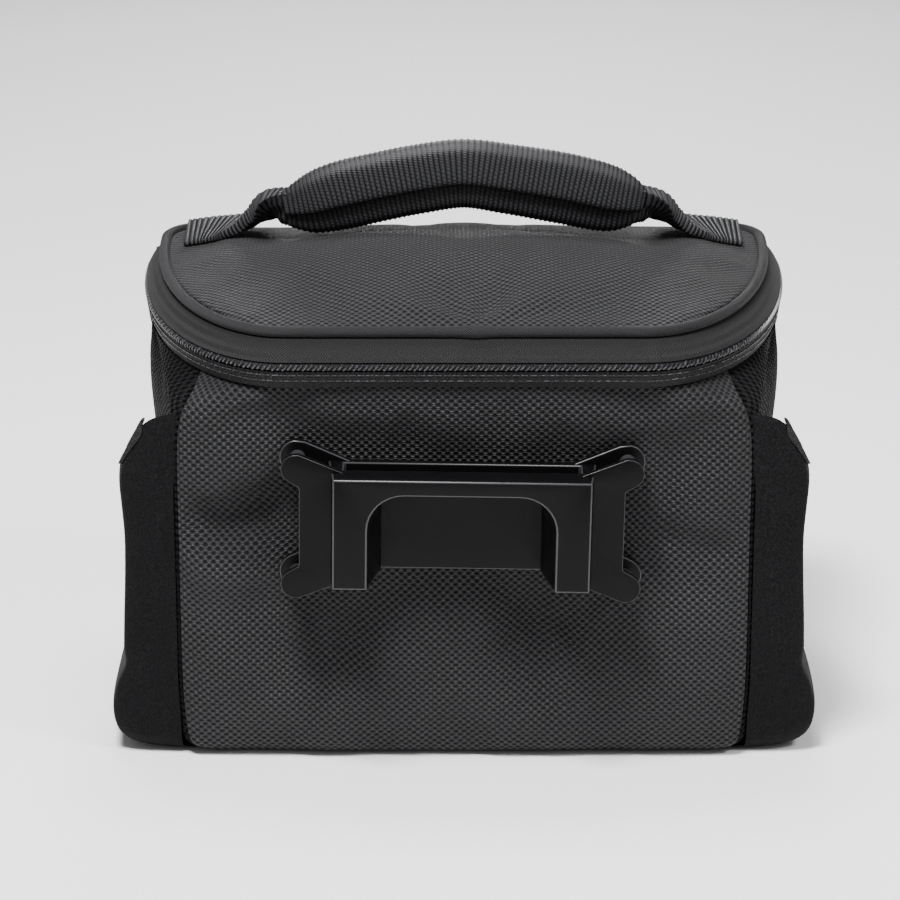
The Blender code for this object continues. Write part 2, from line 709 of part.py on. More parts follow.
def rounded_box(half_x, half_z, radius, steps=4):
    """Corner points of a rounded rectangle in X and Z."""
    points = []
    for turn, (sx, sz) in enumerate(((1, 1), (-1, 1), (-1, -1), (1, -1))):
        for i in range(steps + 1):
            angle = math.pi / 2 * (turn + i / steps)
            points.append((sx * (half_x - radius) + radius * math.cos(angle),
                           sz * (half_z - radius) + radius * math.sin(angle)))
    return points


def circle(centre_x, centre_z, radius, sides=20):
    return [(centre_x + radius * math.cos(2 * math.pi * i / sides),
             centre_z + radius * math.sin(2 * math.pi * i / sides)) for i in range(sides)]


def arch_points(half_width, top, bottom, radius, steps=5):
    """Outline of the arch's cut: open at the bottom, with round top corners."""
    points = [(-half_width, bottom), (half_width, bottom)]
    for i in range(steps + 1):
        angle = math.pi / 2 * i / steps
        points.append((half_width - radius + radius * math.cos(angle), top - radius + radius * math.sin(angle)))
    for i in range(steps + 1):
        angle = math.pi / 2 * (1 + i / steps)
        points.append((-half_width + radius + radius * math.cos(angle), top - radius + radius * math.sin(angle)))
    return points


def join_with(target, other, operation):
    """Adds or cuts one solid by another with a Boolean and removes the tool."""
    modifier = target.modifiers.new(operation, "BOOLEAN")
    modifier.operation = operation
    modifier.object = other
    modifier.solver = "EXACT"
    depsgraph = bpy.context.evaluated_depsgraph_get()
    result = bpy.data.meshes.new_from_object(target.evaluated_get(depsgraph))
    target.modifiers.clear()
    target.data = result
    bpy.data.objects.remove(other, do_unlink=True)


def make_plate():
    """The moulded plate: rear wall and discs, box with its arch and slot, flange with lobes, and four pins."""
    half_x = LOBE_SPACING_ACROSS / 2
    half_z = LOBE_SPACING_UP / 2
    flange_high = PLATE_STANDOFF - FLANGE_BACKSET
    flange_low = flange_high - FLANGE_THICKNESS
    face_x = PLATE_FACE_WIDTH / 2
    face_z = PLATE_FACE_HEIGHT / 2
    plate = prism("mount_plate", rounded_box(half_x - 1 * MM, face_z, 3 * MM), GAP, GAP + REAR_WALL)
    pieces = []
    box_base = rounded_box(face_x + PLATE_DRAFT, face_z, 2.2 * MM)
    box_share = (face_x / (face_x + PLATE_DRAFT), 1.0)
    pieces.append(prism("box", box_base, GAP + 0.4 * MM, PLATE_STANDOFF, box_share))
    pieces.append(prism("flange", rounded_box(half_x, face_z - 0.6 * MM, 3 * MM), flange_low, flange_high))
    for sx in (-1, 1):
        for sz in (-1, 1):
            x = sx * half_x
            z = sz * half_z
            pieces.append(prism("rear_disc", circle(x, z, REAR_DISC_RADIUS), GAP + 0.2 * MM, GAP + REAR_WALL + 0.5 * MM))
            pieces.append(prism("pin", circle(x, z, PIN_RADIUS, 12), GAP + 1 * MM, flange_high - 0.5 * MM))
            pieces.append(prism("lobe", circle(x, z, LOBE_RADIUS), flange_low + 0.15 * MM, flange_high + 0.4 * MM))
    for piece in pieces:
        join_with(plate, piece, "UNION")
    arch_top = -face_z + ARCH_HEIGHT
    arch = arch_points(ARCH_WIDTH / 2 - ARCH_NARROWING, arch_top, -face_z - ARCH_RADIUS, ARCH_RADIUS)
    widen = ARCH_WIDTH / (ARCH_WIDTH - 2 * ARCH_NARROWING)
    join_with(plate, prism("arch", arch, GAP + REAR_WALL, PLATE_STANDOFF + 0.01 * MM, (widen, 1.0)), "DIFFERENCE")
    slot_low = GAP + REAR_WALL + 1.2 * MM
    slot = [(-SLOT_LENGTH / 2, face_z - SLOT_DEPTH), (SLOT_LENGTH / 2, face_z - SLOT_DEPTH),
            (SLOT_LENGTH / 2, face_z + 2 * MM), (-SLOT_LENGTH / 2, face_z + 2 * MM)]
    join_with(plate, prism("slot", slot, slot_low, slot_low + SLOT_WIDTH), "DIFFERENCE")
    place = Matrix.Translation((PLATE_CENTRE_ACROSS, NEAR_Y, PLATE_CENTRE_HEIGHT))
    turn = Matrix.Rotation(PLATE_ROLL, 4, "Y") @ Matrix.Rotation(math.pi, 4, "Z")
    mesh_data = bmesh.new()
    mesh_data.from_mesh(plate.data)
    bmesh.ops.transform(mesh_data, matrix=place @ turn, verts=mesh_data.verts)
    bpy.data.objects.remove(plate, do_unlink=True)
    bmesh.ops.dissolve_limit(mesh_data, angle_limit=math.radians(1), verts=mesh_data.verts, edges=mesh_data.edges)
    add_object("mount_plate", mesh_data, "moulded", smooth_below=30)


def main():
    clear_scene()
    make_body()
    for word, side in (("left", -1), ("right", 1)):
        make_pocket("side_pocket_" + word, side)
        make_binding("pocket_binding_" + word, side)
        make_strap("handle_strap_" + word, side)
    make_zip()
    make_lid()
    make_hinge()
    make_slider()
    make_grip()
    make_plate()


main()
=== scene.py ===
"""Looks of a black bicycle handlebar bag: padded cloth, domed zip lid, webbing handle, pockets, plate.

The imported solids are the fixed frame. Every soft piece is made here from the frame's own sizes, and each
finish is worked out from the real material's thread, rib or grain size. Lengths are in metres, +Z is up
and the plate faces -Y.
"""
from __future__ import annotations

import logging
import math
from bisect import bisect_left
from collections.abc import Callable, Sequence
from dataclasses import dataclass
from enum import Enum
from functools import cache
from typing import NamedTuple

import bmesh
import bpy
from mathutils import Matrix, Vector, noise


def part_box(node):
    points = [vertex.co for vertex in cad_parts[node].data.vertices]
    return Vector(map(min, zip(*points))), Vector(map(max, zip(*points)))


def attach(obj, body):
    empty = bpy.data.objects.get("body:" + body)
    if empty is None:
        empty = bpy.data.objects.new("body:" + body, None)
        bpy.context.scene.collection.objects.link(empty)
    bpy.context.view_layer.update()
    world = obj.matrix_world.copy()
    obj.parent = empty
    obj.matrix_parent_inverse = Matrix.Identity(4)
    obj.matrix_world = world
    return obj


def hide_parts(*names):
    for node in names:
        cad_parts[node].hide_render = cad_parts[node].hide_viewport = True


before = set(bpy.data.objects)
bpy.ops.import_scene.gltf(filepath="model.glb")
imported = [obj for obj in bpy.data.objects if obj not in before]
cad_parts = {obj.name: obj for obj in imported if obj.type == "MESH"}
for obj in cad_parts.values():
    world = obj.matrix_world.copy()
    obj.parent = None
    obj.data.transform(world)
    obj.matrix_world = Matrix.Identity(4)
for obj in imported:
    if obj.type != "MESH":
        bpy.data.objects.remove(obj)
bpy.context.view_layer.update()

MM = 0.001
BODY = "root"
GAP = 0.35 * MM
CORD_STEP = 1.6 * MM
TAPE_STEP = 2.2 * MM

logging.basicConfig(level=logging.INFO, format="%(asctime)s %(message)s")
LOG = logging.getLogger("handlebar_bag")


class Side(Enum):
    """The two sides of the bag, with the sign of X on each."""

    LEFT = -1
    RIGHT = 1

    @property
    def word(self) -> str:
        """The side's name, as it stands in the names of pieces."""
        return self.name.lower()


class Weave(Enum):
    """Ways that a tape's threads cross."""

    TWILL = "twill"
    HERRINGBONE = "herringbone"


# Small helpers for node trees and meshes


@cache
def box(node: str) -> tuple[Vector, Vector]:
    """Lowest and highest corner of a CAD node, in metres."""
    low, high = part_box(node)
    return Vector(low), Vector(high)


def linear(code: str) -> tuple[float, float, float, float]:
    """Turns an sRGB hex colour to linear values.

    Args:
        code: Six hex digits.

    Returns:
        Linear red, green, blue and an alpha of 1.
    """
    parts = [int(code[i:i + 2], 16) / 255 for i in (0, 2, 4)]
    return (*[p / 12.92 if p <= 0.04045 else ((p + 0.055) / 1.055) ** 2.4 for p in parts], 1.0)


def add_node(tree: bpy.types.NodeTree, kind: str, inputs: dict | None = None, **settings) -> bpy.types.Node:
    """Adds a node with its settings, values and links.

    Args:
        tree: The tree to add to.
        kind: The node's type name.
        inputs: Socket index or name to a value, or to an output socket to link from.
        settings: Properties of the node.

    Returns:
        The new node.
    """
    node = tree.nodes.new(kind)
    for name, value in settings.items():
        setattr(node, name, value)
    feed(tree, node, inputs or {})
    return node


def feed(tree: bpy.types.NodeTree, node: bpy.types.Node, inputs: dict) -> None:
    """Gives a node's sockets their constants, or links them from output sockets."""
    for key, value in inputs.items():
        if isinstance(value, bpy.types.NodeSocket):
            tree.links.new(value, node.inputs[key])
        else:
            node.inputs[key].default_value = value


class Sum:
    """Writes arithmetic as Math nodes, so that a pattern reads like its formula."""

    def __init__(self, tree: bpy.types.NodeTree) -> None:
        """Keeps the tree that the nodes go into."""
        self.tree = tree

    def __call__(self, operation: str, *values) -> bpy.types.NodeSocket:
        """Adds one Math node.

        Args:
            operation: The Math node's operation.
            values: Numbers or output sockets.

        Returns:
            The node's output socket.
        """
        inputs = dict(enumerate(values))
        return add_node(self.tree, "ShaderNodeMath", inputs, operation=operation).outputs[0]

    def span(self, value, low: float, high: float, to_low: float, to_high: float) -> bpy.types.NodeSocket:
        """Maps a range of values to another, clamped, and returns the socket."""
        inputs = {0: value, 1: low, 2: high, 3: to_low, 4: to_high}
        return add_node(self.tree, "ShaderNodeMapRange", inputs).outputs[0]


class Painter:
    """A new material, with the steps that the finishes share."""

    def __init__(self, name: str, coordinates: str) -> None:
        """Makes the material on UV or Object coordinates."""
        self.material = bpy.data.materials.new(name)
        self.material.use_nodes = True
        self.tree = self.material.node_tree
        self.shader = self.tree.nodes["Principled BSDF"]
        self.calc = Sum(self.tree)
        self.place = add_node(self.tree, "ShaderNodeTexCoord").outputs[coordinates]

    def noise(self, size: float, detail: float = 2.0, **more: float) -> bpy.types.Node:
        """Adds noise whose grain has a real size."""
        inputs = {"Vector": self.place, "Scale": 1 / size, "Detail": detail, **more}
        return add_node(self.tree, "ShaderNodeTexNoise", inputs)

    def mottle(self, shade: bpy.types.NodeSocket, size: float, low: float,
               high: float) -> bpy.types.NodeSocket:
        """Varies a shade between two factors, by noise of a real grain size."""
        factor = self.calc.span(self.noise(size).outputs[0], 0.3, 0.7, low, high)
        return self.calc("MULTIPLY", shade, factor)

    def paint(self, share: bpy.types.NodeSocket, low: str, high: str) -> None:
        """Mixes two hex colours by a share into the base colour."""
        inputs = {0: share, 6: linear(low), 7: linear(high)}
        mix = add_node(self.tree, "ShaderNodeMix", inputs, data_type="RGBA")
        self.tree.links.new(mix.outputs[2], self.shader.inputs["Base Color"])

    def emboss(self, height: bpy.types.NodeSocket, distance: float, strength: float) -> None:
        """Raises a pattern by its real depth, at a strength from 0 to 1."""
        inputs = {"Height": height, "Distance": distance, "Strength": strength}
        bump = add_node(self.tree, "ShaderNodeBump", inputs)
        self.tree.links.new(bump.outputs[0], self.shader.inputs["Normal"])

    def coat(self, inputs: dict) -> bpy.types.Material:
        """Gives the shader its own sockets' values or links, and returns the material."""
        feed(self.tree, self.shader, inputs)
        return self.material


def only(*pieces: bpy.types.Object) -> None:
    """Deselects everything, then selects these objects and makes the first active."""
    bpy.ops.object.select_all(action="DESELECT")
    for piece in pieces:
        piece.select_set(True)
    bpy.context.view_layer.objects.active = pieces[0]


def apply_modifier(piece: bpy.types.Object, kind: str, **settings) -> None:
    """Adds a modifier with its settings and applies it.

    Args:
        piece: The object.
        kind: The modifier's type.
        settings: Properties of the modifier.
    """
    only(piece)
    modifier = piece.modifiers.new(kind.lower(), kind)
    for name, value in settings.items():
        setattr(modifier, name, value)
    bpy.ops.object.modifier_apply(modifier=modifier.name)


def subdivide(piece: bpy.types.Object, levels: int) -> None:
    """Smooths a piece by subdivision surface and applies it."""
    apply_modifier(piece, "SUBSURF", levels=levels, render_levels=levels, boundary_smooth="PRESERVE_CORNERS")


def smooth(piece: bpy.types.Object, below: float = 40.0) -> None:
    """Shades a piece smooth, with edges sharper than an angle in degrees kept crisp."""
    only(piece)
    bpy.ops.object.shade_smooth_by_angle(angle=math.radians(below))


def settle(piece: bpy.types.Object, material: bpy.types.Material, slot: str, *nodes: str) -> bpy.types.Object:
    """Dresses a finished piece, rides it on the bag and lets it stand for its CAD nodes.

    Args:
        piece: The finished piece.
        material: Its finish.
        slot: Not used.
        nodes: The CAD nodes that it replaces.

    Returns:
        The piece.
    """
    piece.data.materials.clear()
    piece.data.materials.append(material)
    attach(piece, BODY)
    if nodes:
        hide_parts(*nodes)
    LOG.info("%s: %d faces", piece.name, len(piece.data.polygons))
    return piece


def mapped_grid(name: str, columns: int, rows: int, surface: Callable[[float, float], Sequence[float]],
                size: tuple[float, float], tube: bool = False) -> bpy.types.Object:
    """Adds a grid and lays it on a surface, with its UV map in metres along the cloth.

    Args:
        name: The piece's name.
        columns: Faces along the first direction.
        rows: Faces along the second direction.
        surface: Gives the place of a point from its two shares, 0 to 1.
        size: The cloth's length in each direction, for the UV map.
        tube: Joins the two long borders and fills the ends.

    Returns:
        The new piece.
    """
    piece = primitive(bpy.ops.mesh.primitive_grid_add, x_subdivisions=columns, y_subdivisions=rows, size=2,
                      calc_uvs=True)
    piece.name = name
    mesh = piece.data
    mesh.name = name
    shares = [((v.co.x + 1) / 2, (v.co.y + 1) / 2) for v in mesh.vertices]
    uv = mesh.uv_layers.active.data
    for loop in mesh.loops:
        s, t = shares[loop.vertex_index]
        uv[loop.index].uv = (s * size[0], t * size[1])
    for vertex, (s, t) in zip(mesh.vertices, shares):
        vertex.co = surface(s, t)
    if tube:
        mend(piece, merge=1e-6, fill=True)
    return piece


def primitive(add: Callable, **settings) -> bpy.types.Object:
    """Adds one of Blender's own shapes by its operator, and returns it."""
    bpy.ops.object.select_all(action="DESELECT")
    add(**settings)
    return bpy.context.object


def mend(piece: bpy.types.Object, merge: float = 0.0, fill: bool = False, quads: bool = False) -> None:
    """Cleans a mesh and turns its faces outward.

    Args:
        piece: The piece.
        merge: Distance within which points become one.
        fill: Closes open borders.
        quads: Joins pairs of triangles.
    """
    only(piece)
    bpy.ops.object.mode_set(mode="EDIT")
    bpy.ops.mesh.select_mode(type="VERT")
    bpy.ops.mesh.select_all(action="SELECT")
    if merge:
        bpy.ops.mesh.remove_doubles(threshold=merge)
    if fill:
        bpy.ops.mesh.select_all(action="DESELECT")
        bpy.ops.mesh.select_non_manifold()
        bpy.ops.mesh.fill_holes(sides=0)
        bpy.ops.mesh.select_all(action="SELECT")
    bpy.ops.mesh.normals_make_consistent(inside=False)
    if quads:
        flat = math.radians(60)
        bpy.ops.mesh.tris_convert_to_quads(face_threshold=flat, shape_threshold=flat)
    bpy.ops.object.mode_set(mode="OBJECT")


def soft_copy(node: str, name: str) -> bpy.types.Object:
    """Copies a CAD soft solid into a new piece of clean quads, its border edges kept.

    Args:
        node: The CAD node.
        name: The new piece's name.

    Returns:
        The new piece.
    """
    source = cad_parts[node]
    mesh = source.data.copy()
    mesh.name = name
    piece = bpy.data.objects.new(name, mesh)
    bpy.context.scene.collection.objects.link(piece)
    mend(piece, merge=1e-5, quads=True)
    crease_borders(piece)
    return piece


def crease_borders(piece: bpy.types.Object, above: float = 55.0, amount: float = 0.75) -> None:
    """Creases the edges where a cloth's face turns into its cut edge.

    Args:
        piece: The piece.
        above: The least angle of such an edge, in degrees.
        amount: The crease, from 0 to 1.
    """
    work = bmesh.new()
    work.from_mesh(piece.data)
    layer = work.edges.layers.float.get("crease_edge") or work.edges.layers.float.new("crease_edge")
    for edge in work.edges:
        edge[layer] = amount if edge.calc_face_angle(0) > math.radians(above) else 0
    work.to_mesh(piece.data)
    work.free()


def write_cloth_uv(piece: bpy.types.Object, flatten: Callable[[Vector], tuple[float, float]]) -> None:
    """Gives a piece a UV map in metres, from a rule that lays its points flat.

    Args:
        piece: The piece.
        flatten: Gives the flat place of a point.
    """
    mesh = piece.data
    layer = mesh.uv_layers.active or mesh.uv_layers.new(name="cloth")
    for loop in mesh.loops:
        layer.data[loop.index].uv = flatten(mesh.vertices[loop.vertex_index].co)


def move_points(piece: bpy.types.Object, shift: Callable[[Vector, Vector], Vector]) -> None:
    """Moves every point of a piece by a rule of its place and normal."""
    mesh = piece.data
    moved = [vertex.co + shift(vertex.co.copy(), vertex.normal.copy()) for vertex in mesh.vertices]
    for vertex, place in zip(mesh.vertices, moved):
        vertex.co = place
    mesh.update()


def puff(piece: bpy.types.Object, held: Callable[[Vector], float], pressure: float, grow: float,
         cap: float) -> None:
    """Fills a padded cloth by simulation and applies the result.

    Args:
        piece: The piece, closed all round.
        held: How firmly a place is sewn down, from 0 to 1.
        pressure: Pressure inside the piece.
        grow: How much longer the cloth is than its frame, as a share, which makes it ripple.
        cap: The furthest that a point may move, in metres.
    """
    start = [vertex.co.copy() for vertex in piece.data.vertices]
    group = piece.vertex_groups.new(name="sewn")
    for vertex in piece.data.vertices:
        weight = held(vertex.co)
        if weight > 0:
            group.add([vertex.index], weight, "REPLACE")
    only(piece)
    modifier = piece.modifiers.new("cloth", "CLOTH")
    cloth = modifier.settings
    cloth.quality = 4
    cloth.mass = 0.25
    cloth.vertex_group_mass = "sewn"
    cloth.use_pressure = True
    cloth.uniform_pressure_force = pressure
    cloth.shrink_min = -grow
    cloth.tension_stiffness = 20
    cloth.compression_stiffness = 20
    cloth.bending_stiffness = 2.0
    cloth.effector_weights.gravity = 0
    modifier.collision_settings.use_collision = False
    scene = bpy.context.scene
    for step in range(1, 21):
        scene.frame_set(step)
    bpy.ops.object.modifier_apply(modifier=modifier.name)
    scene.frame_set(1)
    for vertex, place in zip(piece.data.vertices, start):
        move = vertex.co - place
        if move.length > cap:
            vertex.co = place + move.normalized() * cap
    piece.vertex_groups.clear()
    piece.data.update()


def fade(value: float, low: float, high: float) -> float:
    """A smooth step from 0 at low to 1 at high."""
    share = min(max((value - low) / (high - low), 0.0), 1.0)
    return share * share * (3 - 2 * share)


def bump_at(value: float, middle: float, reach: float) -> float:
    """A soft bump, 1 at its middle and 0 past its reach."""
    share = min(abs(value - middle) / reach, 1.0)
    return (1 - share * share) ** 2


# Finishes, each from the real material's own sizes


@dataclass(frozen=True)
class BallisticNylon:
    """Plain-woven ballistic nylon with flat yarns: satin pads in a checker, with pinholes between in painted
    shade.
    """

    name: str = "ballistic_nylon"
    yarn_across: float = 1.46 * MM
    yarn_along: float = 1.32 * MM
    drift: float = 0.9 * MM
    drift_size: float = 14.29 * MM
    fleck: float = MM / 1.5
    patch: float = 38.46 * MM
    pad: str = "313134"
    # Near-black painted shade for the pinholes and dips of the weave.
    pit: str = "010101"
    roughness: float = 0.36
    relief: float = 0.9 * MM
    gloss: float = 0.28
    sheen: float = 0.01

    def material(self) -> bpy.types.Material:
        """Builds the cloth on the piece's UV map, in metres."""
        painter = Painter(self.name, "UV")
        calc = painter.calc
        bent = {0: painter.noise(self.drift_size, 1.0).outputs["Color"], 1: (0.5, 0.5, 0.5)}
        bent = add_node(painter.tree, "ShaderNodeVectorMath", bent, operation="SUBTRACT")
        bent = {0: bent.outputs[0], 3: self.drift}
        bent = add_node(painter.tree, "ShaderNodeVectorMath", bent, operation="SCALE")
        bent = {0: painter.place, 1: bent.outputs[0]}
        bent = add_node(painter.tree, "ShaderNodeVectorMath", bent, operation="ADD")
        parts = add_node(painter.tree, "ShaderNodeSeparateXYZ", {0: bent.outputs[0]})
        across = calc("DIVIDE", parts.outputs[0], self.yarn_across)
        along = calc("DIVIDE", parts.outputs[1], self.yarn_along)
        height = self.weave(calc, across, along)
        shade = painter.mottle(calc.span(height, 0.18, 0.95, 0.0, 1.0), self.fleck, 0.5, 1.3)
        shade = painter.mottle(shade, self.patch, 0.86, 1.1)
        # Painted shade: the colour darkens to near-black where the weave dips, by its height.
        painter.paint(shade, self.pit, self.pad)
        painter.emboss(height, self.relief, 1.0)
        roughness = calc.span(shade, 0.0, 1.0, 0.95, self.roughness)
        return painter.coat({"Roughness": roughness, "Specular IOR Level": self.gloss,
                             "Sheen Weight": self.sheen, "Sheen Roughness": 0.45})

    @staticmethod
    def weave(calc: Sum, across: bpy.types.NodeSocket, along: bpy.types.NodeSocket) -> bpy.types.NodeSocket:
        """Height of a plain weave of flat yarns, with a pinhole at every second crossing of their borders.

        Args:
            calc: Writes the Math nodes.
            across: Place across the warp, in yarns.
            along: Place along the warp, in yarns.

        Returns:
            The height, from 0 in a pinhole to 1 on a yarn's crown.
        """
        columns = calc("COSINE", calc("MULTIPLY", across, math.pi))
        rows = calc("COSINE", calc("MULTIPLY", along, math.pi))
        pads = calc.span(calc("MULTIPLY", columns, rows), -1.0, 0.72, 1.0, 0.0)
        yarn = calc("ABSOLUTE", calc("SINE", calc("MULTIPLY", along, math.pi)))
        return calc("MULTIPLY", calc("POWER", pads, 0.8), calc.span(yarn, 0.0, 0.7, 0.62, 1.0))


@dataclass(frozen=True)
class TapeCloth:
    """Narrow woven nylon: the zip's tape, the bias piping and bindings, with fine slanting threads."""

    name: str
    weave: Weave
    thread: float = 0.95 * MM
    colour: str = "28282a"
    # Near-black painted shade for the valleys between threads.
    gap: str = "020202"
    roughness: float = 0.62
    relief: float = 0.35 * MM
    bar: float = 3.2 * MM
    fleck: float = MM / 1.8

    def material(self) -> bpy.types.Material:
        """Builds slanting threads on the UV map; a herringbone turns its slant in every bar."""
        painter = Painter(self.name, "UV")
        calc = painter.calc
        parts = add_node(painter.tree, "ShaderNodeSeparateXYZ", {0: painter.place})
        run, rise = parts.outputs[0], parts.outputs[1]
        if self.weave is Weave.HERRINGBONE:
            rise = calc("PINGPONG", rise, self.bar / 2)
        slant = calc("DIVIDE", calc("ADD", run, calc("MULTIPLY", rise, 1.6)), self.thread)
        cross = calc("DIVIDE", calc("SUBTRACT", run, calc("MULTIPLY", rise, 0.7)), self.thread * 0.9)
        ridge = calc("SINE", calc("MULTIPLY", slant, 2 * math.pi))
        notch = calc("SINE", calc("MULTIPLY", cross, 2 * math.pi))
        height = calc("ADD", calc("MULTIPLY", ridge, 0.36), calc("ADD", calc("MULTIPLY", notch, 0.2), 0.45))
        shade = painter.mottle(calc.span(height, 0.25, 0.95, 0.0, 1.0), self.fleck, 0.6, 1.2)
        # Painted shade: the valleys between threads are coloured near-black by their height.
        painter.paint(shade, self.gap, self.colour)
        painter.emboss(height, self.relief, 0.8)
        return painter.coat({"Roughness": self.roughness, "Specular IOR Level": 0.22,
                             "Sheen Weight": 0.01, "Sheen Roughness": 0.5})


@dataclass(frozen=True)
class RibbedWebbing:
    """Nylon webbing whose weft ribs are modelled; the finish adds the small yarns that bind each rib."""

    name: str = "ribbed_webbing"
    rib: float = 1.8 * MM
    yarn: float = 1.15 * MM
    colour: str = "323235"
    # Near-black painted shade for the valleys between ribs and yarns.
    gap: str = "020202"
    roughness: float = 0.5
    relief: float = 0.6 * MM
    fleck: float = MM / 1.7

    def material(self) -> bpy.types.Material:
        """Builds rib valleys and binding yarns on the UV map, whose first direction is along the strap."""
        painter = Painter(self.name, "UV")
        calc = painter.calc
        parts = add_node(painter.tree, "ShaderNodeSeparateXYZ", {0: painter.place})
        along = calc("DIVIDE", parts.outputs[0], self.rib)
        across = calc("DIVIDE", parts.outputs[1], self.yarn)
        rib = calc("ABSOLUTE", calc("SINE", calc("MULTIPLY", along, math.pi)))
        ticks = []
        for shift in (calc("MULTIPLY", calc("FLOOR", along), 0.5), calc("MULTIPLY", along, 0.5)):
            wave = calc("SINE", calc("MULTIPLY", calc("ADD", across, shift), math.pi))
            ticks.append(calc("ABSOLUTE", wave))
        yarns = calc("MULTIPLY", calc("ADD", *ticks), 0.5)
        height = calc("MULTIPLY", calc("POWER", rib, 0.7), calc.span(yarns, 0.0, 1.0, 0.75, 1.0))
        shade = painter.mottle(calc.span(height, 0.3, 0.95, 0.0, 1.0), self.fleck, 0.6, 1.25)
        # Painted shade: the valleys between ribs are coloured near-black by their height.
        painter.paint(shade, self.gap, self.colour)
        painter.emboss(height, self.relief, 1.0)
        return painter.coat({"Roughness": self.roughness, "Specular IOR Level": 0.22,
                             "Sheen Weight": 0.01, "Sheen Roughness": 0.5})


@dataclass(frozen=True)
class Neoprene:
    """Foamed neoprene with a knitted nylon face: a soft, even black with fine specks."""

    name: str = "neoprene"
    colour: str = "080809"
    speck: str = "1a1a1c"
    roughness: float = 0.78
    stitch: float = 0.7 * MM
    patch: float = 28.57 * MM
    relief: float = 0.1 * MM

    def material(self) -> bpy.types.Material:
        """Builds fine knitted specks on Object coordinates."""
        painter = Painter(self.name, "Object")
        calc = painter.calc
        grain = painter.noise(self.stitch, 3.0, Roughness=0.65).outputs[0]
        knit = {"Vector": painter.place, "Scale": 0.8 / self.stitch}
        cells = add_node(painter.tree, "ShaderNodeTexVoronoi", knit).outputs[0]
        shade = painter.mottle(calc.span(grain, 0.42, 0.66, 0.0, 1.0), self.patch, 0.5, 1.0)
        painter.paint(shade, self.colour, self.speck)
        height = calc("ADD", calc("MULTIPLY", cells, 0.5), calc("MULTIPLY", grain, 0.7))
        painter.emboss(height, self.relief, 0.55)
        return painter.coat({"Roughness": self.roughness, "Sheen Weight": 0.015, "Sheen Roughness": 0.55,
                             "Specular IOR Level": 0.07})


@dataclass(frozen=True)
class MouldedNylon:
    """Glass-filled nylon from a spark-eroded mould: satin black with a fine grain; a lighter copy paints edge
    highlights.
    """

    name: str = "moulded_nylon"
    colour: str = "070708"
    worn: str = "141416"
    roughness: float = 0.32
    grain: float = 0.35 * MM
    scuff: float = 16.67 * MM
    relief: float = 0.04 * MM
    gloss: float = 0.09

    def material(self) -> bpy.types.Material:
        """Builds the mould's grain, with faint scuffs in the colour and roughness."""
        painter = Painter(self.name, "Object")
        calc = painter.calc
        scuff = painter.noise(self.scuff, 4.0, Roughness=0.7).outputs[0]
        painter.paint(calc.span(scuff, 0.55, 0.8, 0.0, 0.35), self.colour, self.worn)
        painter.emboss(painter.noise(self.grain, 3.0).outputs[0], self.relief, 0.35)
        roughness = calc.span(scuff, 0.3, 0.75, self.roughness + 0.05, self.roughness - 0.05)
        return painter.coat({"Roughness": roughness, "Specular IOR Level": self.gloss})


@dataclass(frozen=True)
class CoilNylon:
    """Monofilament nylon of the zip's teeth and thread: dark, smooth and glossy."""

    name: str = "coil_nylon"
    colour: str = "1c1c1f"
    tip: str = "77777c"
    roughness: float = 0.26
    rub: float = MM / 0.9

    def material(self) -> bpy.types.Material:
        """Builds a glossy filament, a little lighter where it is rubbed."""
        painter = Painter(self.name, "Object")
        rub = painter.noise(self.rub).outputs[0]
        painter.paint(painter.calc.span(rub, 0.45, 0.75, 0.0, 0.35), self.colour, self.tip)
        return painter.coat({"Roughness": self.roughness, "Specular IOR Level": 0.4})


@dataclass(frozen=True)
class PaperFloor:
    """A roll of white studio paper: matt, with no grain that shows."""

    name: str = "studio_paper"
    colour: str = "f4f4f4"

    def material(self) -> bpy.types.Material:
        """Builds the plain paper."""
        return Painter(self.name, "UV").coat({"Base Color": linear(self.colour), "Roughness": 0.9})


@dataclass
class Wardrobe:
    """The bag's finishes, each made once."""

    cloth: bpy.types.Material
    piping: bpy.types.Material
    tape: bpy.types.Material
    webbing: bpy.types.Material
    neoprene: bpy.types.Material
    moulded: bpy.types.Material
    worn_edge: bpy.types.Material
    coil: bpy.types.Material
    hidden_cloth: bpy.types.Material

    @classmethod
    def make(cls) -> Wardrobe:
        """Makes every finish."""
        # Painted shade: a darker, duller copy of the cloth for the side gussets.
        hidden = BallisticNylon("side_nylon_painted_shade", yarn_across=1.5 * MM, pad="1b1b1d", gloss=0.05)
        return cls(
            cloth=BallisticNylon().material(),
            piping=TapeCloth("bias_piping", Weave.TWILL, thread=0.95 * MM, colour="313134").material(),
            tape=TapeCloth("zip_tape", Weave.HERRINGBONE).material(),
            webbing=RibbedWebbing().material(),
            neoprene=Neoprene().material(),
            moulded=MouldedNylon().material(),
            # Painted highlight: a lighter, glossier copy of the moulded nylon for the plate's rounded edges.
            worn_edge=MouldedNylon("nylon_edge_painted_highlight", colour="2b2b2d", worn="47474a", gloss=0.4).material(),
            coil=CoilNylon().material(),
            hidden_cloth=hidden.material(),
        )


# The bag's pieces


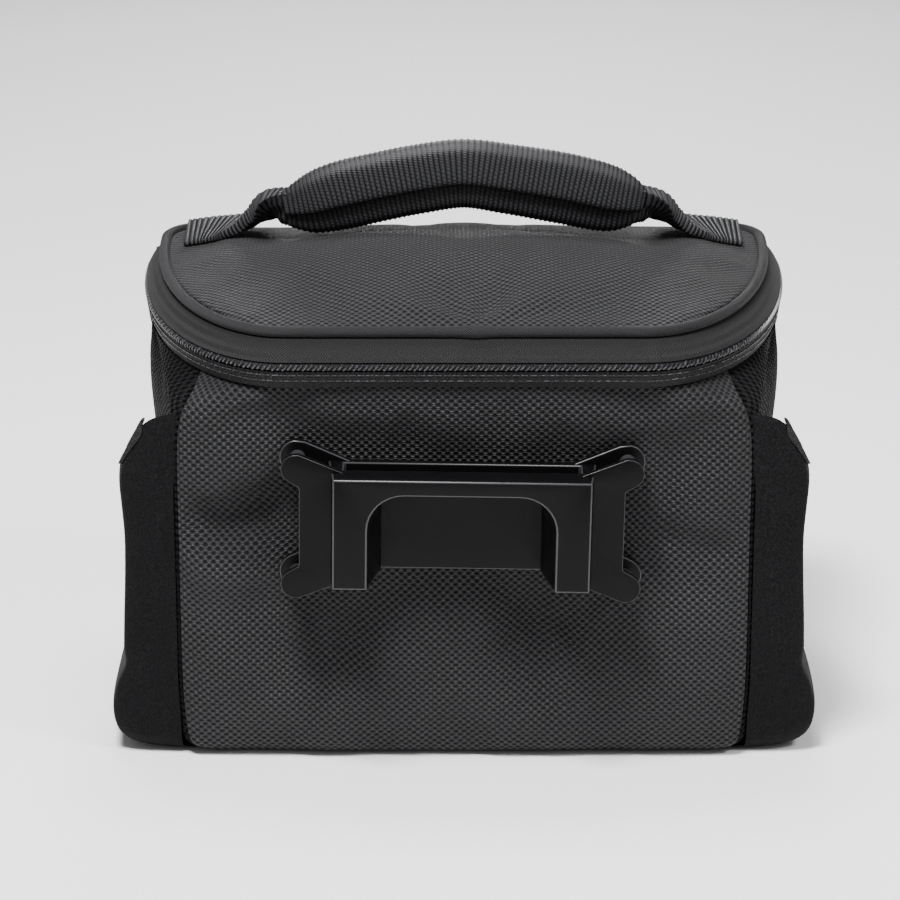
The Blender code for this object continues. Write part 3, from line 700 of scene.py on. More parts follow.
@dataclass
class LidPlan:
    """The D-shaped plan that the lid, the zip and the rim share, with sizes from the frame."""

    near: float
    far: float
    half_width: float
    edge_height: float
    corner_across: float = 49 * MM
    corner_along: float = 110 * MM
    far_radius: float = 14 * MM
    piping_radius: float = 1.9 * MM

    @classmethod
    def from_frame(cls) -> LidPlan:
        """Reads the piping's box."""
        low, high = box("lid_piping")
        radius = (high[2] - low[2]) / 2
        return cls(near=low[1] + radius, far=high[1] - radius, half_width=high[0] - radius,
                   edge_height=(low[2] + high[2]) / 2, piping_radius=radius)

    def half_route(self) -> list[Vector]:
        """Fine points from the near middle round the right side to the far corner's end."""
        straight = self.half_width - self.corner_across
        points = [Vector((straight * i / 30, self.near)) for i in range(30)]
        for i in range(61):
            angle = math.pi / 2 * i / 60
            points.append(Vector((straight + self.corner_across * math.sin(angle),
                                  self.near + self.corner_along * (1 - math.cos(angle)))))
        start = self.near + self.corner_along
        end = self.far - self.far_radius
        if end > start:
            points += [Vector((self.half_width, start + (end - start) * i / 8)) for i in range(1, 9)]
        for i in range(1, 17):
            angle = math.pi / 2 * i / 16
            points.append(Vector((self.half_width - self.far_radius * (1 - math.cos(angle)),
                                  end + self.far_radius * math.sin(angle))))
        return points

    def route(self, flare: float = 0.0) -> list[Vector]:
        """The open route from the left far corner round the near side, moved outward by a flare."""
        right = self.half_route()
        base = [Vector((-p.x, p.y)) for p in right[:0:-1]] + right
        moved = []
        for i, point in enumerate(base):
            run = (base[min(i + 1, len(base) - 1)] - base[max(i - 1, 0)]).normalized()
            moved.append(point + Vector((run.y, -run.x)) * flare)
        return moved

    def half_width_at(self, y: float, flare: float = 0.0) -> float:
        """Half of the plan's width at a depth."""
        near = self.near - flare
        far = self.far + flare
        across = self.corner_across + flare
        along = self.corner_along + flare
        half = self.half_width + flare
        y = min(max(y, near), far)
        if y < near + along:
            share = 1 - (y - near) / along
            half = half - across + across * math.sqrt(max(1 - share * share, 0))
        radius = self.far_radius + flare
        if y > far - radius:
            share = (y - far + radius) / radius
            half -= radius * (1 - math.sqrt(max(1 - share * share, 0)))
        return half


class RoutePoint(NamedTuple):
    """A place on a route: where it is, the way it runs, the way out, and how far along."""

    place: Vector
    run: Vector
    out: Vector
    along: float


def even_route(points: Sequence[Vector], spacing: float) -> list[RoutePoint]:
    """Steps along a polyline at an even spacing.

    Args:
        points: The polyline, in plan.
        spacing: Wanted distance between steps, in metres.

    Returns:
        The steps, from the first point to the last.
    """
    lengths = running_lengths(points)
    count = max(int(round(lengths[-1] / spacing)), 1)
    steps = []
    for i in range(count + 1):
        want = lengths[-1] * i / count
        at, share = find_along(lengths, want)
        run = (points[at + 1] - points[at]).normalized()
        place = points[at].lerp(points[at + 1], share)
        steps.append(RoutePoint(place, run, Vector((run.y, -run.x)), want))
    return steps


def running_lengths(points: Sequence[Vector]) -> list[float]:
    """How far along a polyline each of its points lies."""
    lengths = [0.0]
    for a, b in zip(points, points[1:]):
        lengths.append(lengths[-1] + (b - a).length)
    return lengths


def find_along(lengths: Sequence[float], want: float) -> tuple[int, float]:
    """The polyline's segment that holds a length, and the share of it that the length reaches."""
    at = min(max(bisect_left(lengths, want) - 1, 0), len(lengths) - 2)
    return at, (want - lengths[at]) / max(lengths[at + 1] - lengths[at], 1e-9)


def swept_strip(name: str, steps: Sequence[RoutePoint],
                profile: Sequence[tuple[float, float]]) -> bpy.types.Object:
    """Sweeps a closed profile along a route and closes its ends.

    Args:
        name: The piece's name.
        steps: The route.
        profile: Flare and height of each corner, in order round the section, the first one not repeated.

    Returns:
        The piece, with a UV map in metres along and round it.
    """
    closed = [*profile, profile[0]]
    rounds = running_lengths([Vector(corner) for corner in closed])
    count = len(profile)

    def surface(s: float, t: float) -> Vector:
        """Place of a point of the swept skin."""
        step = steps[round(s * (len(steps) - 1))]
        flare, height = closed[round(t * count)]
        return (step.place + step.out * flare).to_3d() + Vector((0, 0, height))

    return mapped_grid(name, len(steps) - 1, count, surface, (steps[-1].along, rounds[-1]), tube=True)


def tape_profile(low: tuple[float, float], high: tuple[float, float], belly: float, half: float,
                 rows: int) -> list[tuple[float, float]]:
    """Section of a tape that bellies out between its lower and upper edge.

    Args:
        low: Flare and height of its lower edge.
        high: Flare and height of its upper edge.
        belly: How far its middle stands out.
        half: Half of its thickness.
        rows: Faces up each side.

    Returns:
        Its corners, in order round it.
    """
    face = []
    for i in range(rows + 1):
        share = i / rows
        flare = low[0] + (high[0] - low[0]) * share + half + belly * math.sin(math.pi * share)
        face.append((flare, low[1] + (high[1] - low[1]) * share))
    return face + [(flare - 2 * half, height) for flare, height in reversed(face)]


def join_copies(name: str, pattern: bpy.types.Object,
                places: Sequence[tuple[Vector, Matrix]]) -> bpy.types.Object:
    """Makes one piece of many copies of a pattern, and removes the pattern.

    Args:
        name: The piece's name.
        pattern: The shape to copy.
        places: Where each copy goes and how it is turned.

    Returns:
        The piece.
    """
    corners = [vertex.co.copy() for vertex in pattern.data.vertices]
    faces = [tuple(polygon.vertices) for polygon in pattern.data.polygons]
    bpy.data.objects.remove(pattern, do_unlink=True)
    points: list[Vector] = []
    polygons: list[tuple[int, ...]] = []
    for place, turn in places:
        start = len(points)
        points += [place + turn @ corner for corner in corners]
        polygons += [tuple(start + i for i in face) for face in faces]
    mesh = bpy.data.meshes.new(name)
    mesh.from_pydata(points, [], polygons)
    piece = bpy.data.objects.new(name, mesh)
    bpy.context.scene.collection.objects.link(piece)
    smooth(piece, 60)
    return piece


class SideFold(NamedTuple):
    """A valley or swell beside the plate, in millimetres; its height is the one at 80 mm from the middle."""

    side: Side
    out: float
    height: float
    reach: float
    slope: float
    start: float
    full: float


class Hollow(NamedTuple):
    """A hollow under the plate, in millimetres."""

    depth: float
    across: float
    reach_across: float
    height: float
    reach_up: float


@dataclass
class PaddedBody:
    """The four padded walls and the base of the main compartment."""

    finish: Wardrobe
    foot_seam: float = 6 * MM
    top_seam: tuple[float, float] = (8 * MM, 2 * MM)
    panel_seam: tuple[float, float] = (93 * MM, 98 * MM)
    plate_margin: tuple[float, float] = (6 * MM, 4 * MM)
    ripples: tuple[float, float] = (34, 46)
    side_folds: tuple[SideFold, ...] = (
        SideFold(Side.LEFT, -2.6, 90, 12, 0.25, 55, 70),
        SideFold(Side.LEFT, 2.2, 73, 14, 0.0, 50, 72),
        SideFold(Side.RIGHT, -2.2, 78, 12, 0.3, 55, 72),
    )
    hollows: tuple[Hollow, ...] = (
        Hollow(2.2, -46, 16, 48, 24),
        Hollow(2.2, 24, 17, 46, 24),
    )

    def build(self) -> None:
        """Makes every wall and the base."""
        self.handlebar_panel()
        for side in Side:
            self.side_wall(side)
        self.far_wall()
        self.base()

    def wall(self, node: str, name: str, held: Callable[[Vector], float],
             **filling: float) -> bpy.types.Object:
        """Copies a padded wall from the frame and fills it between its seams.

        Args:
            node: The CAD node.
            name: The piece's name.
            held: How firmly a place is sewn down, besides its foot.
            filling: The pressure, growth and cap that puff takes.

        Returns:
            The piece.
        """
        piece = soft_copy(node, name)
        subdivide(piece, 1)
        puff(piece, lambda point: max(held(point), 1 - fade(point.z, 0.0, self.foot_seam)), **filling)
        subdivide(piece, 1)
        return piece

    def at_top(self, point: Vector, top: float) -> float:
        """How firmly the seam at a wall's top holds a place."""
        return fade(point.z, top - self.top_seam[0], top - self.top_seam[1])

    def handlebar_panel(self) -> bpy.types.Object:
        """The panel that carries the plate: padded, dented beside it and folded over at its top corners."""
        plate_low, plate_high = box("mount_plate")
        top = box("back_panel")[1].z
        across, up = self.plate_margin

        def held(point: Vector) -> float:
            """Sewn at the seams and screwed down behind the plate."""
            behind = point.y < -45 * MM and plate_low.x + across < point.x < plate_high.x - across
            behind = behind and plate_low.z + up < point.z < plate_high.z - up
            return max(fade(abs(point.x), *self.panel_seam), self.at_top(point, top), float(behind))

        piece = self.wall("back_panel", "handlebar_panel", held, pressure=3.0, grow=0.012, cap=5 * MM)
        move_points(piece, self.panel_folds)
        write_cloth_uv(piece, self.flatten_near)
        smooth(piece, 50)
        return settle(piece, self.finish.cloth, "cloth", "back_panel")

    def panel_folds(self, point: Vector, normal: Vector) -> Vector:
        """Soft valleys and swells of the handlebar panel, beyond what the solid holds."""
        if normal.y > -0.2:
            return Vector((0, 0, 0))
        x, z = point.x / MM, point.z / MM
        out = 0.8 * noise.noise(Vector((point.x * self.ripples[0], 3.1, point.z * self.ripples[1])))
        for fold in self.side_folds:
            along = fold.side.value * x
            height = z + fold.slope * (along - 80)
            out += fold.out * bump_at(height, fold.height, fold.reach) * fade(along, fold.start, fold.full)
        for hollow in self.hollows:
            beside = bump_at(x, hollow.across, hollow.reach_across)
            out -= hollow.depth * beside * bump_at(z, hollow.height, hollow.reach_up)
        return Vector((0, -out * (1 - fade(abs(x), 88, 99)) * MM, 0))

    @staticmethod
    def flatten_near(point: Vector) -> tuple[float, float]:
        """Lays the handlebar panel flat, its shoulders rolled out past its corners."""
        behind = max(point.y + 55 * MM, 0.0)
        return point.x + math.copysign(behind * 0.55, point.x), point.z + behind * 0.45

    def side_wall(self, side: Side) -> bpy.types.Object:
        """A padded side gusset."""
        node = f"side_panel_{side.word}"
        low, high = box(node)
        end_seam = 8 * MM

        def held(point: Vector) -> float:
            """Sewn at both ends and along its top."""
            ends = max(1 - fade(point.y, low.y, low.y + end_seam), fade(point.y, high.y - end_seam, high.y))
            return max(ends, fade(point.z, high.z - 10 * MM, high.z - 3 * MM))

        name = f"side_gusset_{side.word}"
        piece = self.wall(node, name, held, pressure=1.5, grow=0.004, cap=1.5 * MM)
        write_cloth_uv(piece, lambda p: (p.y * side.value, p.z))
        smooth(piece, 50)
        # The side gussets wear the darker copy of the cloth, a painted shade.
        return settle(piece, self.finish.hidden_cloth, "cloth", node)

    def far_wall(self) -> bpy.types.Object:
        """The far panel, which the photo doesn't show: plain and lightly padded."""
        high = box("front_panel")[1]

        def held(point: Vector) -> float:
            """Sewn at both sides and along its top."""
            return max(fade(abs(point.x), high.x - 16 * MM, high.x - 6 * MM), self.at_top(point, high.z))

        piece = self.wall("front_panel", "far_panel", held, pressure=2.0, grow=0.006, cap=2.2 * MM)
        write_cloth_uv(piece, lambda p: (p.x, p.z))
        smooth(piece, 50)
        return settle(piece, self.finish.cloth, "cloth", "front_panel")

    def base(self) -> bpy.types.Object:
        """The flat base, which stays flat because the bag rests on it."""
        piece = soft_copy("base_panel", "base_panel_cloth")
        write_cloth_uv(piece, lambda p: (p.x, p.y))
        smooth(piece, 40)
        return settle(piece, self.finish.cloth, "cloth", "base_panel")


@dataclass
class SidePocket:
    """An open pocket of stretch neoprene with a ribbed binding along its mouth."""

    finish: Wardrobe
    side: Side
    flat: tuple[float, float] = (150 * MM, 131 * MM)
    flat_area: float = 0.0163
    binding_hug: float = 1.0 * MM
    mouth_height: float = 127 * MM
    mouth_drop: float = 45 * MM
    mouth_span: tuple[float, float] = (-55 * MM, 68 * MM)

    def build(self) -> None:
        """Makes the pocket and its binding."""
        node = f"side_pocket_{self.side.word}"
        piece = soft_copy(node, f"neoprene_pocket_{self.side.word}")
        subdivide(piece, 2)
        move_points(piece, self.creases)
        write_cloth_uv(piece, lambda p: (p.y, p.z))
        smooth(piece, 50)
        settle(piece, self.finish.neoprene, "neoprene", node)
        node = f"pocket_binding_{self.side.word}"
        binding = soft_copy(node, f"mouth_binding_{self.side.word}")
        subdivide(binding, 2)
        out = Vector((self.side.value, 0, 0))
        move_points(binding, lambda p, n: -out * (self.mouth_pull(p) + self.binding_hug))
        write_cloth_uv(binding, lambda p: (p.y, p.z + 0.36 * p.y))
        smooth(binding, 50)
        settle(binding, self.finish.tape, "binding", node)

    def creases(self, point: Vector, normal: Vector) -> Vector:
        """The crease over the bulge at the pocket's foot, slow waves, and the drawn-in mouth."""
        crease = -0.9 * bump_at(point.z, 34 * MM, 6 * MM)
        wave = 0.7 * noise.noise(Vector((point.y * 22, self.side.value * 7.0, point.z * 30)))
        strength = fade(abs(point.x), 108 * MM, 116 * MM) * (1 if normal.x * self.side.value > 0.2 else 0)
        near_end = 1 - fade(point.y, -52 * MM, -42 * MM)
        closed = 1.6 * MM * fade(point.z, 98 * MM, 115 * MM) * near_end
        drawn = self.mouth_pull(point) + closed
        return Vector((self.side.value * ((crease + wave) * strength * MM - drawn), 0, 0))

    def mouth_pull(self, point: Vector) -> float:
        """How far the binding draws the mouth towards the bag at a point of the pocket or binding."""
        mouth = self.mouth_height - self.mouth_drop * fade(point.y, *self.mouth_span)
        near_mouth = fade(point.z, mouth - 40 * MM, mouth - 4 * MM)
        free = fade(abs(point.x), 106 * MM, 121 * MM)
        return (4.2 * near_mouth + 1.6) * free * MM


@dataclass
class Lid:
    """The domed lid panel with its piping, the twill band under it and the hinge strip."""

    finish: Wardrobe
    plan: LidPlan
    dome: float = 11.5 * MM
    thickness: float = 2 * MM
    crest_share: float = 0.48
    hinge_length: float = 17.4 * MM

    def height(self, x: float, y: float) -> float:
        """The lid's outer face, as the solid has it."""
        crest = self.plan.near + self.crest_share * (self.plan.far - self.plan.near)
        along = (y - crest) / ((self.plan.far if y > crest else self.plan.near) - crest)
        across = min(abs(x) / self.plan.half_width, 1)
        rise = max(1 - along ** 2, 0) ** 0.8 * (1 - across ** 1.8)
        return self.plan.edge_height + self.dome * rise

    def build(self) -> None:
        """Makes every piece of the lid."""
        self.panel()
        self.piping()
        self.band()
        self.hinge()

    def panel(self) -> bpy.types.Object:
        """The domed panel: filled by simulation between its seams, with a shallow dent behind the join."""
        inset = -self.plan.piping_radius * 0.5
        near = self.plan.near - inset
        far = self.plan.far + inset
        depth = far - near
        columns, rows = 64, 40

        def surface(s: float, t: float) -> Vector:
            """Rows are closer together near both ends, where the outline turns."""
            y = near + depth * (1 - math.cos(math.pi * t)) / 2
            x = (2 * s - 1) * self.plan.half_width_at(y, inset)
            return Vector((x, y, self.height(x, y)))

        piece = mapped_grid("lid_panel", columns, rows, surface, (1, 1))
        apply_modifier(piece, "SOLIDIFY", thickness=self.thickness, offset=-1.0, use_even_offset=False)
        mend(piece, merge=0.05 * MM)

        def held(point: Vector) -> float:
            """Sewn along the piping and at the far hinge."""
            side = self.plan.half_width_at(point.y, inset) - abs(point.x)
            return 1 - fade(min(side, point.y - near, far - point.y), 1 * MM, 5 * MM)

        puff(piece, held, pressure=1.2, grow=0.004, cap=2.5 * MM)
        subdivide(piece, 1)
        move_points(piece, self.dents)
        write_cloth_uv(piece, lambda p: (p.x, p.y * 1.03))
        smooth(piece, 60)
        return settle(piece, self.finish.cloth, "cloth", "lid_top")

    def dents(self, point: Vector, normal: Vector) -> Vector:
        """The shallow dent near the piping's join, the fan of soft facets round it, and slow unevenness."""
        del normal
        from_join = Vector((point.x - 3 * MM, point.y - self.plan.near))
        reach = 1 - fade(from_join.length, 10 * MM, 62 * MM)
        angle = math.atan2(from_join.x, max(from_join.y, 1e-4))
        fan = 0.85 * math.cos(angle * 7.0 + 0.6) * reach * fade(from_join.length, 0.0, 12 * MM)
        behind = bump_at(point.y, self.plan.near + 28 * MM, 34 * MM)
        valley = -1.9 * bump_at(point.x - 0.05 * point.y, 6 * MM, 13 * MM) * behind
        slow = 0.8 * noise.noise(Vector((point.x * 24, point.y * 24, 5.7)))
        rim = min(self.plan.half_width_at(point.y) - abs(point.x), point.y - self.plan.near)
        return Vector((0, 0, (fan + valley + slow) * fade(rim, 2 * MM, 12 * MM) * MM))

    def piping(self) -> bpy.types.Object:
        """The bias-bound cord round the lid, with a lapped join at the near middle."""
        steps = even_route(self.plan.route(), CORD_STEP)
        length = steps[-1].along
        radius = self.plan.piping_radius

        def surface(s: float, t: float) -> Vector:
            """A round cord that is a little thicker where its ends lap."""
            step = steps[round(s * (len(steps) - 1))]
            lap = bump_at(step.along, length / 2 + 4 * MM, 8 * MM)
            wide = radius * (1.0 + 0.22 * lap + 0.05 * noise.noise(Vector((step.along * 160, 0.0, 2.0))))
            angle = 2 * math.pi * t
            spot = step.place + step.out * (wide * math.cos(angle))
            return Vector((spot.x, spot.y, self.plan.edge_height + wide * math.sin(angle)))

        size = (length, 2 * math.pi * radius)
        piece = mapped_grid("lid_piping_cord", len(steps) - 1, 16, surface, size, tube=True)
        smooth(piece, 60)
        return settle(piece, self.finish.piping, "binding", "lid_piping")

    def band(self) -> bpy.types.Object:
        """The twill tape that slopes from the piping down to the teeth."""
        low, high = box("lid_band")
        steps = even_route(self.plan.route(), TAPE_STEP)
        profile = tape_profile((6 * MM, low.z), (0.8 * MM, high.z + 0.15 * MM), 0.7 * MM, 0.55 * MM, 6)
        piece = swept_strip("twill_band", steps, profile)
        smooth(piece, 50)
        return settle(piece, self.finish.tape, "binding", "lid_band")

    def hinge(self) -> bpy.types.Object:
        """The plain cloth strip that the lid opens on."""
        piece = soft_copy("lid_hinge", "hinge_cloth")
        subdivide(piece, 2)
        write_cloth_uv(piece, lambda p: (p.x, p.z))
        smooth(piece, 50)
        return settle(piece, self.finish.cloth, "cloth", "lid_hinge")


@dataclass
class Zip:
    """The closed coil zip: teeth, its lower tape with two stitch rows, and the hidden slider."""

    finish: Wardrobe
    plan: LidPlan
    pitch: float = 1.7 * MM
    flare: float = 6 * MM
    filament: float = 0.34 * MM
    stitch: float = 2.9 * MM
    stitch_rows: tuple[float, float] = (0.42, 0.80)
    tape_slope: float = 0.8 * MM

    def build(self) -> None:
        """Makes every piece of the zip."""
        self.teeth()
        self.core()
        self.lower_tape()
        self.stitches()
        self.slider()

    def teeth(self) -> bpy.types.Object:
        """Slanting turns of filament, one modelled and the rest copied along the route."""
        low, high = box("zip_coil")
        height = (low[2] + high[2]) / 2
        half = 1.25 * MM
        pattern = primitive(bpy.ops.mesh.primitive_cylinder_add, vertices=6, radius=self.filament,
                            depth=2 * half, end_fill_type="NGON")
        bpy.ops.object.mode_set(mode="EDIT")
        bpy.ops.mesh.select_all(action="SELECT")
        bpy.ops.mesh.bisect(plane_co=(0, 0, 0), plane_no=(0, 0, 1))
        bpy.ops.mesh.select_all(action="DESELECT")
        bpy.ops.object.mode_set(mode="OBJECT")
        for vertex in pattern.data.vertices:
            vertex.co.y -= 0.5 * MM * (1 - (vertex.co.z / half) ** 2)
        lean = Matrix.Rotation(math.radians(38), 3, "Y")
        places = []
        for number, step in enumerate(even_route(self.plan.route(self.flare), self.pitch)):
            spot = step.place + step.out * 0.62 * MM
            lift = 0.12 * MM * (-1) ** number
            places.append((Vector((spot.x, spot.y, height + lift)), self.turn(step) @ lean))
        piece = join_copies("coil_teeth", pattern, places)
        return settle(piece, self.finish.coil, "nylon_coil", "zip_coil")

    @staticmethod
    def turn(step: RoutePoint) -> Matrix:
        """Turns +X to the way that a route runs."""
        return Matrix.Rotation(math.atan2(step.run.y, step.run.x), 3, "Z")

    def core(self) -> bpy.types.Object:
        """The dark cord and woven ground that the turns of filament wrap."""
        low, high = box("zip_coil")
        height = (low[2] + high[2]) / 2
        steps = even_route(self.plan.route(), TAPE_STEP)
        profile = [(self.flare + 0.75 * MM * math.cos(a), height + 1.25 * MM * math.sin(a))
                   for a in (2 * math.pi * i / 10 for i in range(10))]
        piece = swept_strip("coil_core", steps, profile)
        smooth(piece, 60)
        return settle(piece, self.finish.tape, "nylon_coil")

    def lower_tape(self) -> bpy.types.Object:
        """The tape below the teeth, sewn to the body's rim."""
        low, high = box("zip_lower_tape")
        steps = even_route(self.plan.route(), TAPE_STEP)
        foot = (self.flare - self.tape_slope, low.z - 0.25 * MM)
        profile = tape_profile(foot, (self.flare, high.z), 0.35 * MM, 0.5 * MM, 5)
        piece = swept_strip("lower_tape", steps, profile)
        smooth(piece, 50)
        return settle(piece, self.finish.tape, "binding", "zip_lower_tape")

    def stitches(self) -> bpy.types.Object:
        """Two rows of lockstitch along the tape."""
        low, high = box("zip_lower_tape")
        pattern = primitive(bpy.ops.mesh.primitive_cylinder_add, vertices=6, radius=0.2 * MM, depth=2.3 * MM,
                            rotation=(0, math.pi / 2, 0))
        bpy.ops.object.transform_apply(location=True, rotation=True, scale=True)
        places = []
        for share in self.stitch_rows:
            height = low[2] + (high[2] - low[2]) * share
            out = self.flare + 0.92 * MM - self.tape_slope * (1 - share)
            for step in even_route(self.plan.route(out), self.stitch):
                places.append((Vector((step.place.x, step.place.y, height)), self.turn(step)))
        piece = join_copies("tape_stitches", pattern, places)
        return settle(piece, self.finish.coil, "nylon_coil")

    def slider(self) -> bpy.types.Object:
        """The plain slider on the far corner, where the photo hides it."""
        low, high = box("zip_slider")
        piece = primitive(bpy.ops.mesh.primitive_cube_add, size=1, location=(low + high) / 2,
                          rotation=(0, 0, math.radians(-45)), scale=(1.8 * MM, 8.6 * MM, (high - low).z))
        piece.name = "zip_slider_body"
        bpy.ops.object.transform_apply(location=True, rotation=True, scale=True)
        apply_modifier(piece, "BEVEL", width=0.5 * MM, segments=3)
        smooth(piece, 40)
        return settle(piece, self.finish.moulded, "moulded", "zip_slider")


class StrapSection(NamedTuple):
    """A section of a handle strap; the columns mean what the solid's table says."""

    inward: float
    back: float
    rise: float
    width: float
    thick: float
    turn: float


class GripSection(NamedTuple):
    """A section of the grip: its place along, drop under the crest, and height and thickness as shares."""

    along: float
    drop: float
    height: float
    thick: float


def smooth_curve(p, q, r, s, t: float):
    """Blends from q to r on a smooth curve that also heeds the values before and after them.

    Args:
        p: Number or vector before q.
        q: Value at share 0.
        r: Value at share 1.
        s: Value after r.
        t: The share.

    Returns:
        The value at the share.
    """
    bend = (2 * p - 5 * q + 4 * r - s) * t * t + (3 * q - p - 3 * r + s) * t ** 3
    return 0.5 * (2 * q + (r - p) * t + bend)


def blend_rows(rows: Sequence[NamedTuple], place: float) -> list[float]:
    """Reads a table between its rows on a smooth curve through them.

    Args:
        rows: The table.
        place: The row number, with its fraction.

    Returns:
        The columns' values.
    """
    last = len(rows) - 1
    low = min(max(int(place), 0), last - 1)
    near = [rows[min(max(low + k, 0), last)] for k in (-1, 0, 1, 2)]
    return [smooth_curve(*column, place - low) for column in zip(*near)]


@dataclass
class Handle:
    """The webbing handle: two flat tails with twisted necks, and the folded grip between them."""

    finish: Wardrobe
    lid: Lid
    web_width: float = 30 * MM
    web_thickness: float = 1.8 * MM
    grip_height: float = 24 * MM
    grip_thickness: float = 11 * MM
    grip_span: float = 128 * MM
    rise: float = 32 * MM
    rib: float = 1.8 * MM
    rib_depth: float = 0.5 * MM
    faces_per_rib: int = 6
    strap_rows: tuple[StrapSection, ...] = (
        StrapSection(0.12, 0.76, 0.000, 1.00, 1.0, 0),
        StrapSection(0.40, 0.76, 0.012, 1.00, 1.0, 0),
        StrapSection(0.70, 0.70, 0.040, 0.96, 1.2, 4),
        StrapSection(0.92, 0.56, 0.100, 0.74, 1.9, 14),
        StrapSection(1.08, 0.38, 0.210, 0.50, 2.8, 34),
        StrapSection(1.22, 0.18, 0.330, 0.42, 3.2, 60),
        StrapSection(1.40, 0.00, 0.600, 0.44, 3.2, 88),
    )
    grip_rows: tuple[GripSection, ...] = (
        GripSection(0.000, 0.54, 0.52, 0.50),
        GripSection(0.070, 0.47, 0.86, 0.85),
        GripSection(0.156, 0.34, 1.00, 0.98),
        GripSection(0.260, 0.21, 1.01, 1.00),
        GripSection(0.370, 0.09, 1.01, 1.00),
        GripSection(0.500, 0.00, 1.00, 1.00),
        GripSection(0.630, 0.09, 1.02, 1.00),
        GripSection(0.780, 0.23, 1.04, 1.00),
        GripSection(0.900, 0.38, 0.98, 0.98),
        GripSection(0.960, 0.44, 0.78, 0.80),
        GripSection(1.000, 0.48, 0.50, 0.50),
    )
    grip_shape: tuple[tuple[float, float], ...] = (
        (-0.52, 0.20), (-0.44, 0.40), (-0.20, 0.51), (0.18, 0.51), (0.44, 0.38), (0.50, 0.06),
        (0.46, -0.30), (0.24, -0.50), (-0.16, -0.51), (-0.36, -0.40), (-0.38, -0.13), (-0.58, -0.09),
    )

    def build(self) -> None:
        """Makes the grip and both straps."""
        self.grip()
        for side in Side:
            self.strap(side)

    def grip_line(self, place: float) -> tuple[Vector, float, float]:
        """Middle, height and thickness of the grip at a row number of its table."""
        low, high = box("handle_grip")
        y = (low[1] + high[1]) / 2
        along, drop, tall, thick = blend_rows(self.grip_rows, place)
        height = high[2] - self.grip_height * (0.5 + drop)
        middle = Vector(((along - 0.5) * self.grip_span, y, height))
        return middle, self.grip_height * tall, self.grip_thickness * thick

    def ribs(self, along: float) -> float:
        """How far a rib stands up at a length along the strap."""
        return self.rib_depth * (abs(math.sin(math.pi * along / self.rib)) ** 0.6 - 0.6)

    def grip(self) -> bpy.types.Object:
        """The folded grip: its near flap laps over the lower part and leaves a step."""
        last = len(self.grip_rows) - 1
        fine = 600
        lengths = running_lengths([self.grip_line(last * i / fine)[0] for i in range(fine + 1)])
        total = lengths[-1]
        columns = int(total / self.rib * self.faces_per_rib)
        shape = [Vector(corner) for corner in self.fine_shape(4)]
        around = len(shape)

        def surface(s: float, t: float) -> Vector:
            """A ribbed skin round the grip's line."""
            want = s * total
            at, share = find_along(lengths, want)
            place = last * (at + min(share, 1.0)) / fine
            middle, tall, thick = self.grip_line(place)
            ahead = self.grip_line(min(place + 0.05, last))[0]
            behind = self.grip_line(max(place - 0.05, 0))[0]
            run = (ahead - behind).normalized()
            up = Vector((-run.z, 0, run.x))
            corner = round(t * around)
            v, w = shape[corner % around]
            edge = (shape[(corner + 1) % around] - shape[(corner - 1) % around]).normalized()
            out = Vector((edge.y, -edge.x))
            rib = self.ribs(want)
            return middle + Vector((0, v * thick + out.x * rib, 0)) + up * (w * tall + out.y * rib)

        round_length = 2 * (self.grip_height + self.grip_thickness)
        piece = mapped_grid("folded_grip", columns, around, surface, (total, round_length), tube=True)
        smooth(piece, 70)
        return settle(piece, self.finish.webbing, "webbing", "handle_grip")

    def fine_shape(self, parts: int) -> list[tuple[float, float]]:
        """The grip's section with rounded corners, on a closed smooth curve but kept tight at the flap."""
        rows = [Vector(corner) for corner in self.grip_shape]
        count = len(rows)
        fine = []
        for i in range(count):
            near = [rows[(i + k) % count] for k in (-1, 0, 1, 2)]
            for k in range(parts):
                straight = near[1].lerp(near[2], k / parts)
                spot = straight.lerp(smooth_curve(*near, k / parts), 0.8)
                fine.append((spot.x, spot.y))
        return fine

    def strap(self, side: Side) -> bpy.types.Object:
        """A ribbed strap from its tail under the piping to the grip, folding and twisting as it rises."""
        rows = self.strap_rows
        plan = self.lid.plan
        low, high = box("handle_grip")
        grip_y = (low[1] + high[1]) / 2
        lid_side = plan.half_width - plan.piping_radius - 2 * MM
        grip_end = len(self.grip_rows) - 1
        ends = (0, 1) if side is Side.LEFT else (grip_end, grip_end - 1)
        end, inner = (Vector((-abs(spot.x), spot.y, spot.z))
                      for spot in (self.grip_line(row)[0] for row in ends))
        places = []
        for row in rows:
            x = -lid_side + row.inward * self.web_width
            y = grip_y + row.back * self.web_width
            floor = self.lid.height(x, y) + GAP + self.web_thickness / 2 + 0.9 * MM
            places.append(Vector((x, y, floor + row.rise * self.rise)))
        grip_run = (inner - end).normalized()
        places[-1] = end + grip_run * 3 * MM
        knots = [StrapSection(*place, row.width, row.thick, row.turn) for place, row in zip(places, rows)]
        last = len(rows) - 1
        fine = 160
        centres = [Vector(blend_rows(knots, last * i / fine)[:3]) for i in range(fine + 1)]
        lengths = running_lengths(centres)
        total = lengths[-1]
        columns = int(total / self.rib * self.faces_per_rib)
        outline = self.flat_outline(7)
        around = len(outline)

